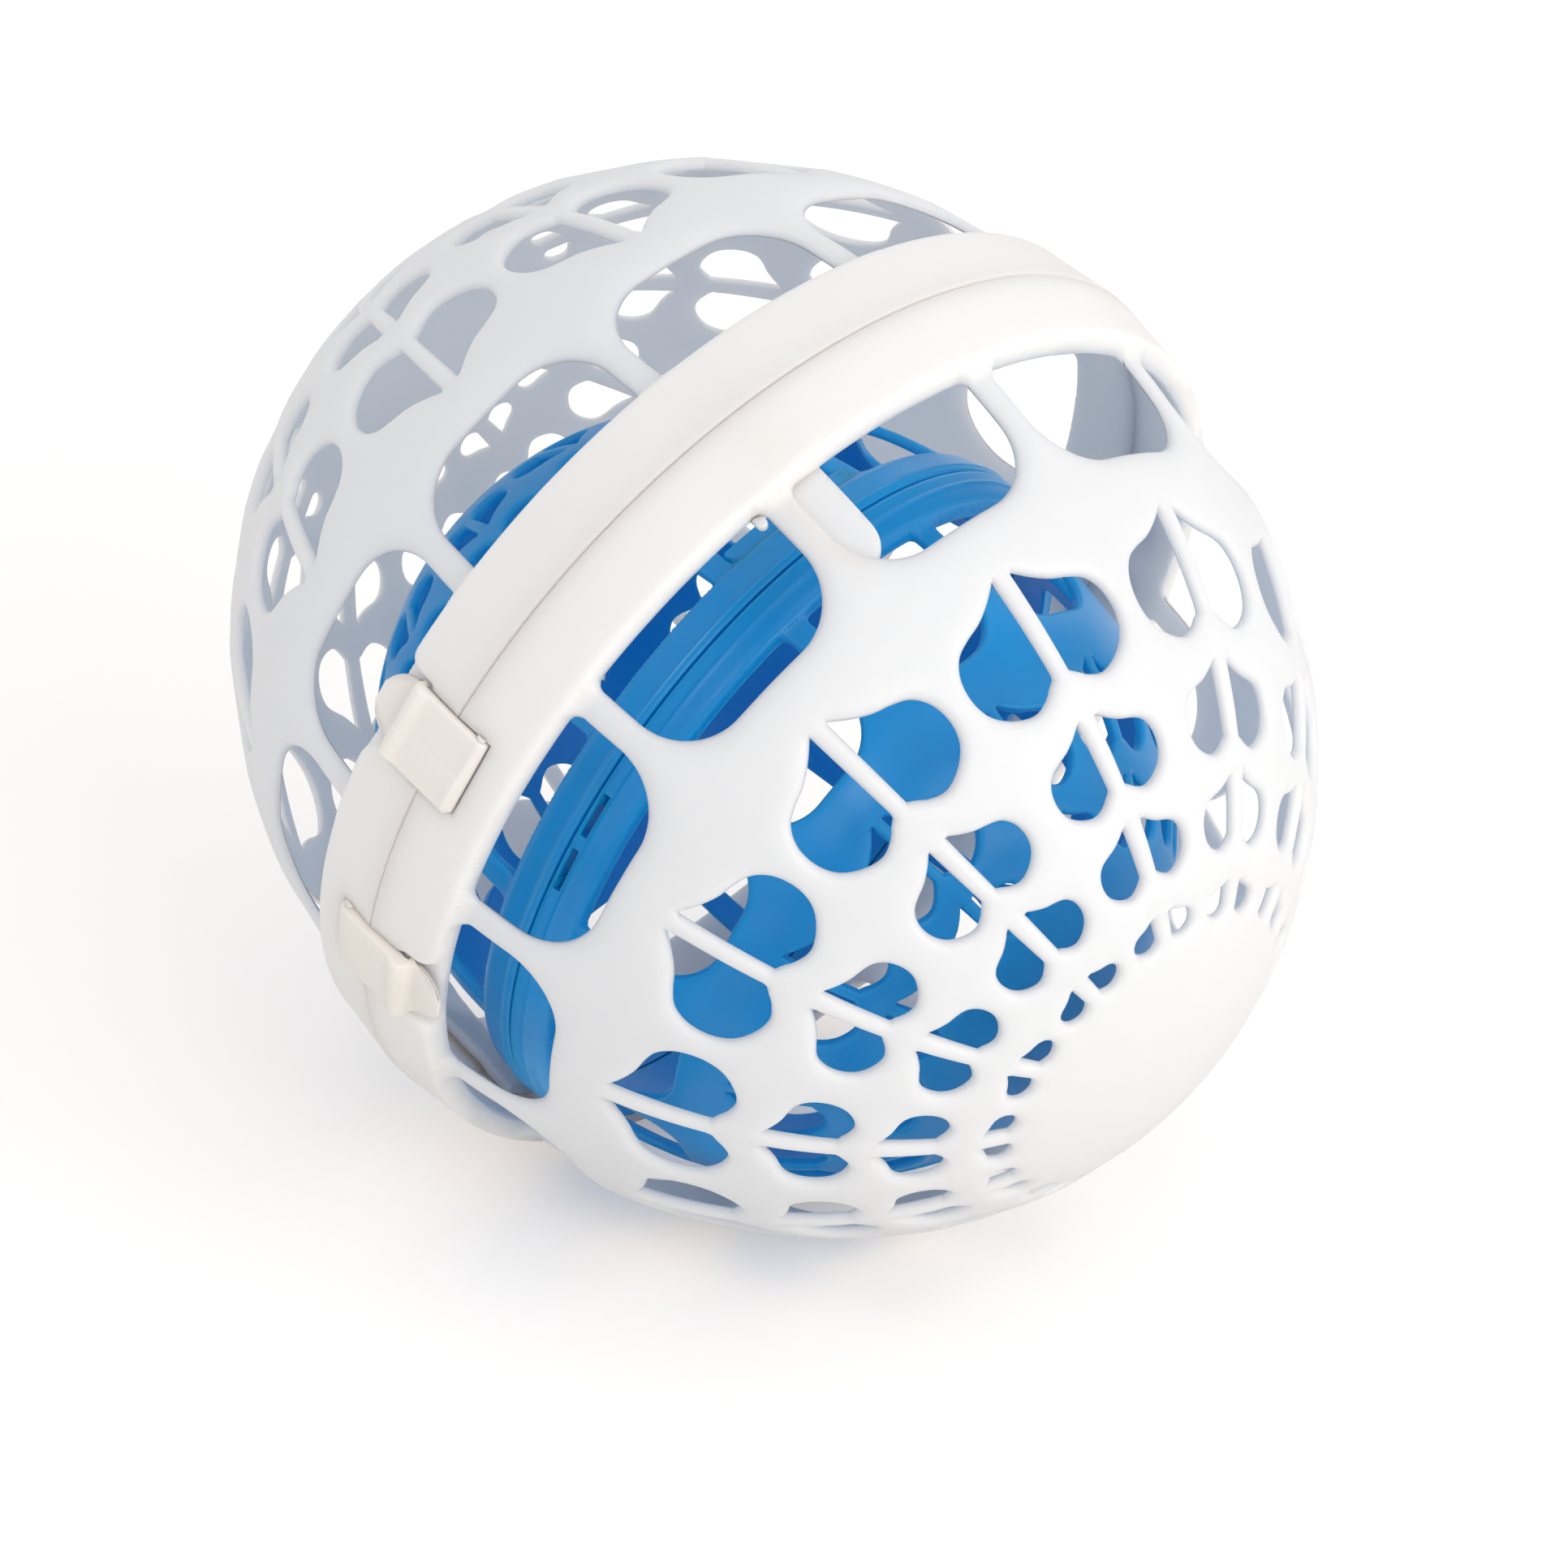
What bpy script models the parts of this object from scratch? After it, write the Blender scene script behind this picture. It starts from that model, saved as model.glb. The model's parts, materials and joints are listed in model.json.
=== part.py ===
# Delicates wash ball: a white outer ball in two identical latched halves,
# with a smaller blue ball in two hinged halves lying loose inside it.
# Units are metres. The ball is modelled on its own axis (+Z towards the pole of the
# base half, +X towards the outer hinge) and then laid on its side, as it rests.

import math

import bmesh
import bpy
from mathutils import Matrix
from mathutils.geometry import delaunay_2d_cdt

MM = 0.001

# Outer ball
OUTER_RADIUS = 82.5 * MM          # shell, across the middle
OUTER_POLE = 95.1 * MM            # shell, centre to pole
OUTER_WALL = 2.0 * MM
BAND_RISE = 2.9 * MM              # collar's face outside the shell, at the parting line
BAND_TAPER = 1.5 * MM             # how far that face falls to the far edge
BAND_RADIUS = OUTER_RADIUS + BAND_RISE
BAND_EDGE_RADIUS = BAND_RADIUS - BAND_TAPER
BAND_HEIGHT = 13.6 * MM           # one half's collar
BAND_WALL = 5.2 * MM
BAND_ROUND = 0.8 * MM             # rounding of the collar's far edge
PARTING_GAP = 0.4 * MM            # between the two halves
RIM_LAP = 1.0 * MM                # how far the shell runs down inside the collar
COLUMNS = 12
COLUMN_STEP = 2.0 * math.pi / COLUMNS
BAND_FACETS = 48
RIM_FACETS = 36

# Openings of the outer ball
STRUT_WIDTH = 5.2 * MM            # between two windows
WINDOW_GAP = 0.3 * MM             # from the collar to the windows
WINDOW_HEIGHT = 20.1 * MM
WINDOW_CORNER = 11.0 * MM         # big corners, on the pole side
OUTER_ROWS = (                    # heart rows: height of tip and length as shares of the pole
    (0.4564, 0.1893, 0.1867),     # height, half width as a share of the radius
    (0.6856, 0.1083, 0.1321),
    (0.8202, 0.0683, 0.1042),
    (0.9159, 0.0242, 0.0739),
)
RIB_WIDTH = 3.4 * MM              # rib that splits each heart

# Outer hinge
HINGE_OFFSET = 3.5 * MM           # pin axis outside the collar
KNUCKLE_RADIUS = 3.1 * MM
KNUCKLE_LENGTH = 7.2 * MM
KNUCKLE_GAP = 0.4 * MM
PIN_RADIUS = 1.5 * MM
PIN_CLEARANCE = 0.3 * MM

# Outer latches
LATCH_TURN = math.radians(15.0)   # each latch stands this far from the line opposite the hinge
LATCH_WIDTH = 13.3 * MM
LATCH_THICKNESS = 2.0 * MM
LATCH_PROUD = 0.4 * MM            # strap stands this far out of the collar
LATCH_ROOT = 5.3 * MM             # pivot, measured from the parting line
LATCH_CATCH = 7.8 * MM            # width of collar left where the other half's latch hooks on
LATCH_NOSE = 1.2 * MM             # how far the hook reaches in behind the collar
LATCH_HOOK = 3.0 * MM             # length of the hook along the axis
LATCH_TAB = 7.0 * MM              # finger tab beyond the hook
LATCH_TAB_RADIUS = 5.8 * MM       # its round end
LATCH_TAB_WALL = 1.4 * MM
LATCH_TAB_LIFT = 1.0 * MM         # how far the tab's end stands out beyond the hook's nose
LATCH_REACH = 1.0 * MM            # pockets run this far past the collar's edge
LATCH_CLEARANCE = 0.35 * MM
NOTCH_STRAIGHT = 2.5 * MM         # sides of the catch's notch, below its rounded shoulders
NOTCH_LEAN = 1.6                  # the shoulder by the other latch is this much longer
NOTCH_FLOOR = 0.15 * MM           # left over the shell in the notch
BARREL_RADIUS = 1.5 * MM
PIVOT_RADIUS = 0.8 * MM
PIVOT_LENGTH = 1.3 * MM

# Alignment tongue, one on each outer half
TONGUE_TURN = math.radians(116.8)
TONGUE_WIDTH = 10.2 * MM
TONGUE_REACH = 30.3 * MM
TONGUE_WALL = 1.8 * MM
TONGUE_ROOT = 7.0 * MM
TONGUE_CLEARANCE = 0.5 * MM

# Inner ball
INNER_ROOM = 21.5 * MM            # outer shell's radius less the inner one's
INNER_END_ROOM = 25.9 * MM        # the same at the poles
INNER_RADIUS = OUTER_RADIUS - INNER_ROOM
INNER_POLE = OUTER_POLE - INNER_END_ROOM
INNER_WALL = 1.8 * MM
RIM_RISE = 2.2 * MM               # rim's face outside the shell, at the parting line
RIM_TAPER = 1.0 * MM
RIM_RADIUS = INNER_RADIUS + RIM_RISE
RIM_EDGE_RADIUS = RIM_RADIUS - RIM_TAPER
RIM_HEIGHT = 6.5 * MM
RIM_WALL = 3.6 * MM
RIM_ROUND = 0.8 * MM
INNER_STRUT_WIDTH = 4.6 * MM
INNER_WINDOW_GAP = 0.8 * MM
INNER_WINDOW_HEIGHT = 21.1 * MM
INNER_WINDOW_CORNER = 9.0 * MM
INNER_ROWS = (                    # shares of the inner ball's own pole height and radius
    (0.5246, 0.1821, 0.1738),
    (0.7514, 0.0983, 0.1213),
)
INNER_RIB_WIDTH = 2.4 * MM

# Inner hinge and snap hooks
INNER_HINGE_OFFSET = 2.6 * MM
INNER_KNUCKLE_RADIUS = 2.3 * MM
INNER_KNUCKLE_LENGTH = 5.6 * MM
INNER_PIN_RADIUS = 1.0 * MM
SLOT_WIDTH = 8.0 * MM
SLOT_HEIGHT = 1.4 * MM
SLOT_BAR = 0.8 * MM               # bar left between a slot and the parting line
SLOT_SPACING = 10.4 * MM
HOOK_CLEARANCE = 0.3 * MM
HOOK_WALL = 1.4 * MM
HOOK_NOSE = 1.3 * MM

# Where the inner ball lies in the outer one: turned about its own axis, tipped a little,
# and a running clearance away from the wall that it rests on
INNER_TURN = math.radians(-19.0)
INNER_TIP_X = math.radians(-1.4)
INNER_TIP_Y = math.radians(6.3)
INNER_SIDE = 1.3 * MM
INNER_SINK = 6.3 * MM
REST_CLEARANCE = 0.45 * MM


def new_material(name, colour, roughness):
    """A plain moulded plastic."""
    material = bpy.data.materials.new(name)
    material.use_nodes = True
    shader = material.node_tree.nodes["Principled BSDF"]
    shader.inputs["Base Color"].default_value = (*colour, 1.0)
    shader.inputs["Roughness"].default_value = roughness
    material.diffuse_color = (*colour, 1.0)
    return material


def link(obj, collection):
    for old in list(obj.users_collection):
        old.objects.unlink(obj)
    collection.objects.link(obj)


def mesh_object(name, mesh, collection, matrix=None):
    obj = bpy.data.objects.new(name, mesh)
    collection.objects.link(obj)
    if matrix is not None:
        obj.matrix_world = matrix
    return obj


def baked(obj):
    """The evaluated mesh of an object, with its place in the mesh; the object is removed."""
    bpy.context.view_layer.update()
    depsgraph = bpy.context.evaluated_depsgraph_get()
    mesh = bpy.data.meshes.new_from_object(obj.evaluated_get(depsgraph))
    mesh.transform(obj.matrix_world)
    bpy.data.objects.remove(obj)
    return mesh


def combine(obj, tools):
    """Boolean modifiers in order; each tool is an object and a DIFFERENCE or UNION."""
    for tool, operation in tools:
        boolean = obj.modifiers.new(tool.name, "BOOLEAN")
        boolean.object = tool
        boolean.operation = operation
        boolean.solver = "EXACT"
    mesh = baked(obj)
    for tool, _ in tools:
        bpy.data.objects.remove(tool)
    return mesh


def as_tool(obj):
    obj.hide_render = True
    obj.display_type = "WIRE"
    return obj


def prism(name, outline, depth, collection, matrix):
    """A flat outline in local XY, extruded evenly to both sides along local Z."""
    curve = bpy.data.curves.new(name, "CURVE")
    curve.dimensions = "2D"
    curve.fill_mode = "BOTH"
    curve.extrude = depth / 2.0
    spline = curve.splines.new("POLY")
    spline.points.add(len(outline) - 1)
    for point, (x, y) in zip(spline.points, outline):
        point.co = (x, y, 0.0, 1.0)
    spline.use_cyclic_u = True
    source = bpy.data.objects.new(name + "_curve", curve)
    collection.objects.link(source)
    mesh = baked(source)
    bm = bmesh.new()
    bm.from_mesh(mesh)
    bmesh.ops.remove_doubles(bm, verts=bm.verts, dist=0.001 * MM)
    bmesh.ops.recalc_face_normals(bm, faces=bm.faces)
    bm.to_mesh(mesh)
    bm.free()
    return as_tool(mesh_object(name, mesh, collection, matrix))


def cylinder(name, radius, length, sides, collection, matrix):
    """A cylinder about local Z."""
    mesh = bpy.data.meshes.new(name)
    bm = bmesh.new()
    bmesh.ops.create_cone(bm, cap_ends=True, segments=sides, radius1=radius,
                          radius2=radius, depth=length)
    bm.to_mesh(mesh)
    bm.free()
    return as_tool(mesh_object(name, mesh, collection, matrix))


def block(name, low, high, collection, matrix):
    """A box between two corners of a local frame."""
    mesh = bpy.data.meshes.new(name)
    bm = bmesh.new()
    size = [b - a for a, b in zip(low, high)]
    centre = [(a + b) / 2.0 for a, b in zip(low, high)]
    bmesh.ops.create_cube(bm, size=1.0, matrix=Matrix.LocRotScale(centre, None, size))
    bm.to_mesh(mesh)
    bm.free()
    return as_tool(mesh_object(name, mesh, collection, matrix))


def arc(centre, radii, start, end, steps):
    """Points along an ellipse; angles in degrees."""
    points = []
    for i in range(steps + 1):
        angle = math.radians(start + (end - start) * i / steps)
        points.append((centre[0] + radii[0] * math.cos(angle),
                       centre[1] + radii[1] * math.sin(angle)))
    return points


def at_angle(angle):
    """Frame at the ball's side: local X runs outwards, local Y along the band, Z is the axis."""
    return Matrix.Rotation(angle, 4, "Z")


def side_view(angle):
    """Frame for an outline drawn as (outwards, along the axis): its depth lies along the band."""
    return at_angle(angle) @ Matrix(((1, 0, 0, 0), (0, 0, -1, 0), (0, 1, 0, 0), (0, 0, 0, 1)))


def face_view(angle):
    """Frame for an outline drawn as (along the band, along the axis), seen from outside."""
    return at_angle(angle) @ Matrix(((0, 0, 1, 0), (1, 0, 0, 0), (0, 1, 0, 0), (0, 0, 0, 1)))


def girth(radius, pole, height):
    """Radius of the ball at a height above its middle."""
    return radius * math.sqrt(max(0.0, 1.0 - (height / pole) ** 2))


def window_outline(radius, pole, low, high, corner, strut):
    """D-shaped window as (angle, height): square by the collar, round by the pole."""
    side = COLUMN_STEP / 2.0 - strut / 2.0 / girth(radius, pole, low)
    turn = corner / girth(radius, pole, high)
    flat = high - corner
    outline = [(-side, low), (-side / 3.0, low), (side / 3.0, low), (side, low)]
    outline += arc((side - turn, flat), (turn, corner), 0.0, 90.0, 2)
    outline += arc((turn - side, flat), (turn, corner), 90.0, 180.0, 2)
    return outline


def row_lengths(rows, radius, pole):
    """Heart rows as lengths: height of tip, length and half width."""
    return [(tip * pole, length * pole, half_width * radius) for tip, length, half_width in rows]


def heart_outlines(radius, pole, row, rib, steps):
    """The two openings of one heart as (angle, height), either side of its rib."""
    tip, length, half_width = row
    middle = girth(radius, pole, tip + 0.6 * length)
    wide = half_width / middle
    edge = rib / 2.0 / middle
    lobe = arc((edge + 0.51 * (wide - edge), 0.6), (0.49 * (wide - edge), 0.4), -60.0, 130.0, steps)
    half = [(edge, 0.0), (edge + 0.3 * (wide - edge), 0.16)] + lobe + [(edge, 0.86)]
    right = [(a, tip + h * length) for a, h in half]
    left = [(-a, h) for a, h in reversed(right)]
    return [right, left]


def perforated_shell(name, radius, pole, wall, rim, outlines, spots, phase, collection):
    """A half shell with the same openings in each column, as a solidified open surface."""
    def flat(angle, height):
        reach = math.acos(min(1.0, height / pole))
        return (reach * math.cos(angle), reach * math.sin(angle))

    half = COLUMN_STEP / 2.0
    sides = [rim] + spots
    loop = [flat(half, h) for h in sides] + [(0.0, 0.0)] + [flat(-half, h) for h in reversed(sides)]
    loop += [flat(-half / 2.0, rim), flat(0.0, rim), flat(half / 2.0, rim)]
    rings = [loop] + [[flat(a, h) for a, h in outline] for outline in outlines]
    points = []
    regions = []
    for ring in rings:
        regions.append(list(range(len(points), len(points) + len(ring))))
        points += ring
    found = delaunay_2d_cdt(points, [], regions, 1, 1e-7)
    sector_points = found[0]
    sector_faces = [face for face, region in zip(found[2], found[5]) if list(region) == [0]]

    bm = bmesh.new()
    for column in range(COLUMNS):
        turn = phase + column * COLUMN_STEP
        ring = []
        for point in sector_points:
            reach = math.hypot(point[0], point[1])
            angle = math.atan2(point[1], point[0]) + turn
            girdle = radius * math.sin(reach)
            ring.append(bm.verts.new((girdle * math.cos(angle), girdle * math.sin(angle),
                                      pole * math.cos(reach))))
        for face in sector_faces:
            bm.faces.new([ring[i] for i in face])
    bmesh.ops.remove_doubles(bm, verts=bm.verts, dist=0.002 * MM)
    bm.normal_update()
    if sum(face.normal.dot(face.calc_center_median()) for face in bm.faces) < 0.0:
        bmesh.ops.reverse_faces(bm, faces=bm.faces)
    mesh = bpy.data.meshes.new(name)
    bm.to_mesh(mesh)
    bm.free()
    obj = mesh_object(name, mesh, collection)
    solidify = obj.modifiers.new("wall", "SOLIDIFY")
    solidify.thickness = wall
    solidify.offset = -1.0
    return obj


def turned_ring(name, profile, facets, collection):
    """A closed ring turned about the axis from a (radius, height) profile."""
    mesh = bpy.data.meshes.new(name)
    bm = bmesh.new()
    points = [bm.verts.new((r, 0.0, h)) for r, h in profile]
    for i, point in enumerate(points):
        bm.edges.new((point, points[(i + 1) % len(points)]))
    bm.to_mesh(mesh)
    bm.free()
    obj = mesh_object(name, mesh, collection, Matrix.Rotation(math.pi / facets, 4, "Z"))
    screw = obj.modifiers.new("turn", "SCREW")
    screw.axis = "Z"
    screw.steps = facets
    screw.render_steps = facets
    screw.use_merge_vertices = True
    screw.merge_threshold = 0.005 * MM
    solid = baked(obj)
    bm = bmesh.new()
    bm.from_mesh(solid)
    bmesh.ops.recalc_face_normals(bm, faces=bm.faces)
    bm.to_mesh(solid)
    bm.free()
    return as_tool(mesh_object(name, solid, collection))


def band_profile(radius, edge_radius, height, wall, rounding):
    """Collar section, outer side from top to bottom: rounded far edge, eased parting edge."""
    low = PARTING_GAP / 2.0
    ease = PARTING_GAP
    inside = radius - wall
    profile = [(inside, height), (edge_radius - 1.6 * rounding, height)]
    profile += [(edge_radius - 0.5 * rounding, height - 0.3 * rounding)]
    profile += [(edge_radius, height - rounding), (radius, low + ease), (radius - ease, low)]
    profile += [(inside, low)]
    return profile


def knuckle(name, axis_radius, radius, inner, height, low, high, collection):
    """Hinge knuckle with the web that joins it to its own collar."""
    start = PARTING_GAP / 2.0 + 0.1 * MM
    first = 180.0 - math.degrees(math.asin(start / radius))
    outline = [(inner, height), (inner, start)] + arc((axis_radius, 0.0), (radius, radius),
                                                      first, 450.0, 12)
    frame = Matrix.Translation((0.0, (low + high) / 2.0, 0.0)) @ side_view(0.0)
    return prism(name, outline, high - low, collection, frame)


def knuckle_spans(length, gap):
    """Where one half's two knuckles stand along the pin; the other half takes the rest."""
    return [(gap / 2.0 - gap - length, -gap / 2.0), (gap / 2.0 + length + gap, 1.5 * gap + 2.0 * length)]


def latch_places():
    """Shared places of the latch section, as radius and distance from the parting line."""
    face = BAND_RADIUS + LATCH_PROUD
    under = face - LATCH_THICKNESS
    floor = under - LATCH_CLEARANCE
    pivot = face - BARREL_RADIUS
    return face, under, floor, pivot


def outer_half_tools(collection):
    """What is added to and cut from an outer half, in its own frame."""
    face, under, floor, pivot = latch_places()
    bore_radius = PIN_RADIUS + PIN_CLEARANCE
    axis_radius = BAND_RADIUS + HINGE_OFFSET
    tools = []
    for low, high in knuckle_spans(KNUCKLE_LENGTH, KNUCKLE_GAP):
        tools.append((knuckle("knuckle", axis_radius, KNUCKLE_RADIUS, BAND_EDGE_RADIUS - 1.4 * MM,
                              8.0 * MM, low, high, collection), "UNION"))
    across = Matrix.Translation((axis_radius, 0.0, 0.0)) @ Matrix.Rotation(math.pi / 2.0, 4, "X")
    tools.append((cylinder("pin_bore", bore_radius, 6.0 * KNUCKLE_LENGTH, 16, collection, across),
                  "DIFFERENCE"))
    tools.append((tongue(collection), "UNION"))

    own = at_angle(math.pi - LATCH_TURN)
    catch = at_angle(math.pi + LATCH_TURN)
    half = LATCH_WIDTH / 2.0 + LATCH_CLEARANCE
    beyond = BAND_RADIUS + 4.0 * MM
    seat = pivot - BARREL_RADIUS - LATCH_CLEARANCE
    seat_low = LATCH_ROOT - BARREL_RADIUS - LATCH_CLEARANCE
    seat_high = LATCH_ROOT + BARREL_RADIUS + LATCH_CLEARANCE
    own_pocket = [(floor, -LATCH_REACH), (beyond, -LATCH_REACH), (beyond, seat_high), (seat, seat_high),
                  (seat, seat_low), (floor, seat_low)]
    tools.append((prism("own_pocket", own_pocket, 2.0 * half, collection,
                        side_view(math.pi - LATCH_TURN)), "DIFFERENCE"))
    hole = own @ Matrix.Translation((pivot, 0.0, LATCH_ROOT)) @ Matrix.Rotation(math.pi / 2.0, 4, "X")
    hole_length = LATCH_WIDTH + 2.0 * (PIVOT_LENGTH + LATCH_CLEARANCE)
    tools.append((cylinder("pivot_hole", PIVOT_RADIUS + LATCH_CLEARANCE, hole_length, 12,
                           collection, hole), "DIFFERENCE"))
    tools.append((block("catch_pocket", (floor, -half, -LATCH_REACH),
                         (beyond, half, LATCH_CATCH + LATCH_REACH),
                        collection, catch), "DIFFERENCE"))
    far_edge = BAND_HEIGHT + 0.2 * MM
    small = far_edge - LATCH_CATCH - NOTCH_STRAIGHT
    large = NOTCH_LEAN * small
    notch = [(half + small, far_edge + 2.0 * MM)]
    notch += arc((half + small, far_edge - small), (small, small), 90.0, 180.0, 4)
    notch += [(half, LATCH_CATCH), (-half, LATCH_CATCH)]
    notch += arc((-half - large, far_edge - small), (large, small), 0.0, 90.0, 4)
    notch += [(-half - large, far_edge + 2.0 * MM)]
    depth = 8.0 * MM
    start = girth(OUTER_RADIUS, OUTER_POLE, LATCH_CATCH) + NOTCH_FLOOR
    frame = catch @ Matrix.Translation((start + depth / 2.0, 0.0, 0.0)) @ face_view(0.0)
    tools.append((prism("catch_notch", notch, depth, collection, frame), "DIFFERENCE"))
    return tools


def tongue(collection):
    """Round-ended tongue inside the collar, reaching into the other half."""
    inside = BAND_RADIUS - BAND_WALL
    half = TONGUE_WIDTH / 2.0

    def face_radius(height):
        if height > 0.0:
            return inside + 0.4 * MM
        hollow = girth(OUTER_RADIUS - OUTER_WALL, OUTER_POLE - OUTER_WALL, height)
        return min(inside - 0.3 * MM, hollow) - TONGUE_CLEARANCE

    heights = [TONGUE_ROOT, 0.3 * MM, 0.0]
    straight = TONGUE_REACH - half
    heights += [-straight * i / 3.0 for i in range(1, 4)]
    rows = [(h, half) for h in heights]
    rows += [(-straight - half * math.sin(math.radians(a)), half * math.cos(math.radians(a)))
             for a in (30.0, 55.0, 75.0)]
    bm = bmesh.new()
    across = (-1.0, -0.35, 0.35, 1.0)
    grid = []
    for height, reach in rows:
        radius = face_radius(height)
        grid.append([bm.verts.new((radius * math.cos(f * reach / inside),
                                   radius * math.sin(f * reach / inside), height)) for f in across])
    for upper, lower in zip(grid, grid[1:]):
        for i in range(len(across) - 1):
            bm.faces.new((upper[i], lower[i], lower[i + 1], upper[i + 1]))
    bm.normal_update()
    if sum(face.normal.x for face in bm.faces) < 0.0:
        bmesh.ops.reverse_faces(bm, faces=bm.faces)
    mesh = bpy.data.meshes.new("tongue")
    bm.to_mesh(mesh)
    bm.free()
    obj = mesh_object("tongue", mesh, collection, at_angle(-TONGUE_TURN))
    solidify = obj.modifiers.new("wall", "SOLIDIFY")
    solidify.thickness = TONGUE_WALL
    solidify.offset = -1.0
    return as_tool(mesh_object("tongue", baked(obj), collection))


def outer_half(collection):
    """One moulded half of the outer ball, in its own frame."""
    low = BAND_HEIGHT + WINDOW_GAP
    high = low + WINDOW_HEIGHT
    outlines = [window_outline(OUTER_RADIUS, OUTER_POLE, low, high, WINDOW_CORNER, STRUT_WIDTH)]
    rows = row_lengths(OUTER_ROWS, OUTER_RADIUS, OUTER_POLE)
    steps = (4, 3, 2, 1)
    for row, count in zip(rows, steps):
        outlines += heart_outlines(OUTER_RADIUS, OUTER_POLE, row, RIB_WIDTH, count)
    spots = [(low + high) / 2.0, high, rows[0][0] + 0.45 * rows[0][1]]
    for row, following in zip(rows, rows[1:]):
        spots.append((row[0] + row[1] + following[0]) / 2.0)
    spots.append((rows[-1][0] + rows[-1][1] + OUTER_POLE) / 2.0 - 0.6 * MM)
    shell = perforated_shell("outer_shell", OUTER_RADIUS, OUTER_POLE, OUTER_WALL,
                             BAND_HEIGHT - RIM_LAP, outlines, spots, COLUMN_STEP / 2.0, collection)
    profile = band_profile(BAND_RADIUS, BAND_EDGE_RADIUS, BAND_HEIGHT, BAND_WALL, BAND_ROUND)
    band = turned_ring("band", profile, BAND_FACETS, collection)
    return combine(shell, [(band, "UNION")] + outer_half_tools(collection))


def latch(collection):
    """One latch, in the frame of the half that carries it: barrel, strap, hook and finger tab."""
    face, under, floor, pivot = latch_places()
    hook = LATCH_CATCH + LATCH_CLEARANCE
    nose = under - LATCH_NOSE
    end = hook + LATCH_TAB
    barrel = arc((pivot, LATCH_ROOT), (BARREL_RADIUS, BARREL_RADIUS), 0.0, 180.0, 6)
    under_start = LATCH_ROOT - math.sqrt(BARREL_RADIUS ** 2 - (pivot - under) ** 2)
    barrel += arc((pivot, LATCH_ROOT), (BARREL_RADIUS, BARREL_RADIUS), 210.0,
                  180.0 + math.degrees(math.acos((pivot - under) / BARREL_RADIUS)), 2)
    heel = -hook - LATCH_HOOK
    tip = nose + LATCH_TAB_LIFT
    outline = barrel + [(under, under_start - 0.2 * MM), (under, -hook + 0.3 * MM), (nose, -hook),
                        (nose, heel), (tip, -end), (tip + LATCH_TAB_WALL, -end),
                        (nose + LATCH_TAB_WALL, heel), (nose + LATCH_TAB_WALL, -hook - 1.2 * MM),
                        (face - 0.4 * MM, -hook - 0.6 * MM), (face, -hook)]
    body = prism("latch_body", outline, LATCH_WIDTH, collection, side_view(0.0))
    solid = mesh_object("latch_solid", body.data, collection, body.matrix_world)
    bpy.data.objects.remove(body)
    across = Matrix.Translation((pivot, 0.0, LATCH_ROOT)) @ Matrix.Rotation(math.pi / 2.0, 4, "X")
    stub = cylinder("stub", PIVOT_RADIUS, LATCH_WIDTH + 2.0 * PIVOT_LENGTH, 12, collection, across)
    half = LATCH_WIDTH / 2.0
    tools = [(stub, "UNION")]
    round_from = -end + LATCH_TAB_RADIUS
    for side in (-1.0, 1.0):
        corner = [(side * x, y) for x, y in arc((0.0, round_from), (LATCH_TAB_RADIUS, LATCH_TAB_RADIUS),
                                                0.0, -75.0, 4)]
        corner += [(side * half * 0.2, -end - 2.0 * MM), (side * (half + 2.0 * MM), -end - 2.0 * MM),
                   (side * (half + 2.0 * MM), round_from)]
        frame = Matrix.Translation((face, 0.0, 0.0)) @ face_view(0.0)
        tools.append((prism("tab_corner", corner, 10.0 * MM, collection, frame), "DIFFERENCE"))
    return combine(solid, tools)


def inner_half(collection):
    """What the two halves of the inner ball have in common, in its own frame."""
    low = RIM_HEIGHT + INNER_WINDOW_GAP
    high = low + INNER_WINDOW_HEIGHT
    outlines = [window_outline(INNER_RADIUS, INNER_POLE, low, high, INNER_WINDOW_CORNER,
                               INNER_STRUT_WIDTH)]
    rows = row_lengths(INNER_ROWS, INNER_RADIUS, INNER_POLE)
    steps = (3, 1)
    for row, count in zip(rows, steps):
        outlines += heart_outlines(INNER_RADIUS, INNER_POLE, row, INNER_RIB_WIDTH, count)
    spots = [(low + high) / 2.0, high, rows[0][0] + 0.48 * rows[0][1]]
    for row, following in zip(rows, rows[1:]):
        spots.append((row[0] + row[1] + following[0]) / 2.0)
    spots.append((rows[-1][0] + rows[-1][1] + INNER_POLE) / 2.0 - 1.2 * MM)
    shell = perforated_shell("inner_shell", INNER_RADIUS, INNER_POLE, INNER_WALL,
                             RIM_HEIGHT - RIM_LAP, outlines, spots, 0.0, collection)
    profile = band_profile(RIM_RADIUS, RIM_EDGE_RADIUS, RIM_HEIGHT, RIM_WALL, RIM_ROUND)
    tools = [(turned_ring("rim", profile, RIM_FACETS, collection), "UNION")]
    axis_radius = RIM_RADIUS + INNER_HINGE_OFFSET
    for start, end in knuckle_spans(INNER_KNUCKLE_LENGTH, KNUCKLE_GAP):
        tools.append((knuckle("inner_knuckle", axis_radius, INNER_KNUCKLE_RADIUS,
                              RIM_EDGE_RADIUS - 1.2 * MM, 5.5 * MM, start, end, collection), "UNION"))
    across = Matrix.Translation((axis_radius, 0.0, 0.0)) @ Matrix.Rotation(math.pi / 2.0, 4, "X")
    tools.append((cylinder("inner_bore", INNER_PIN_RADIUS + PIN_CLEARANCE,
                           6.0 * INNER_KNUCKLE_LENGTH, 12, collection, across), "DIFFERENCE"))
    return combine(shell, tools)


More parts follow.
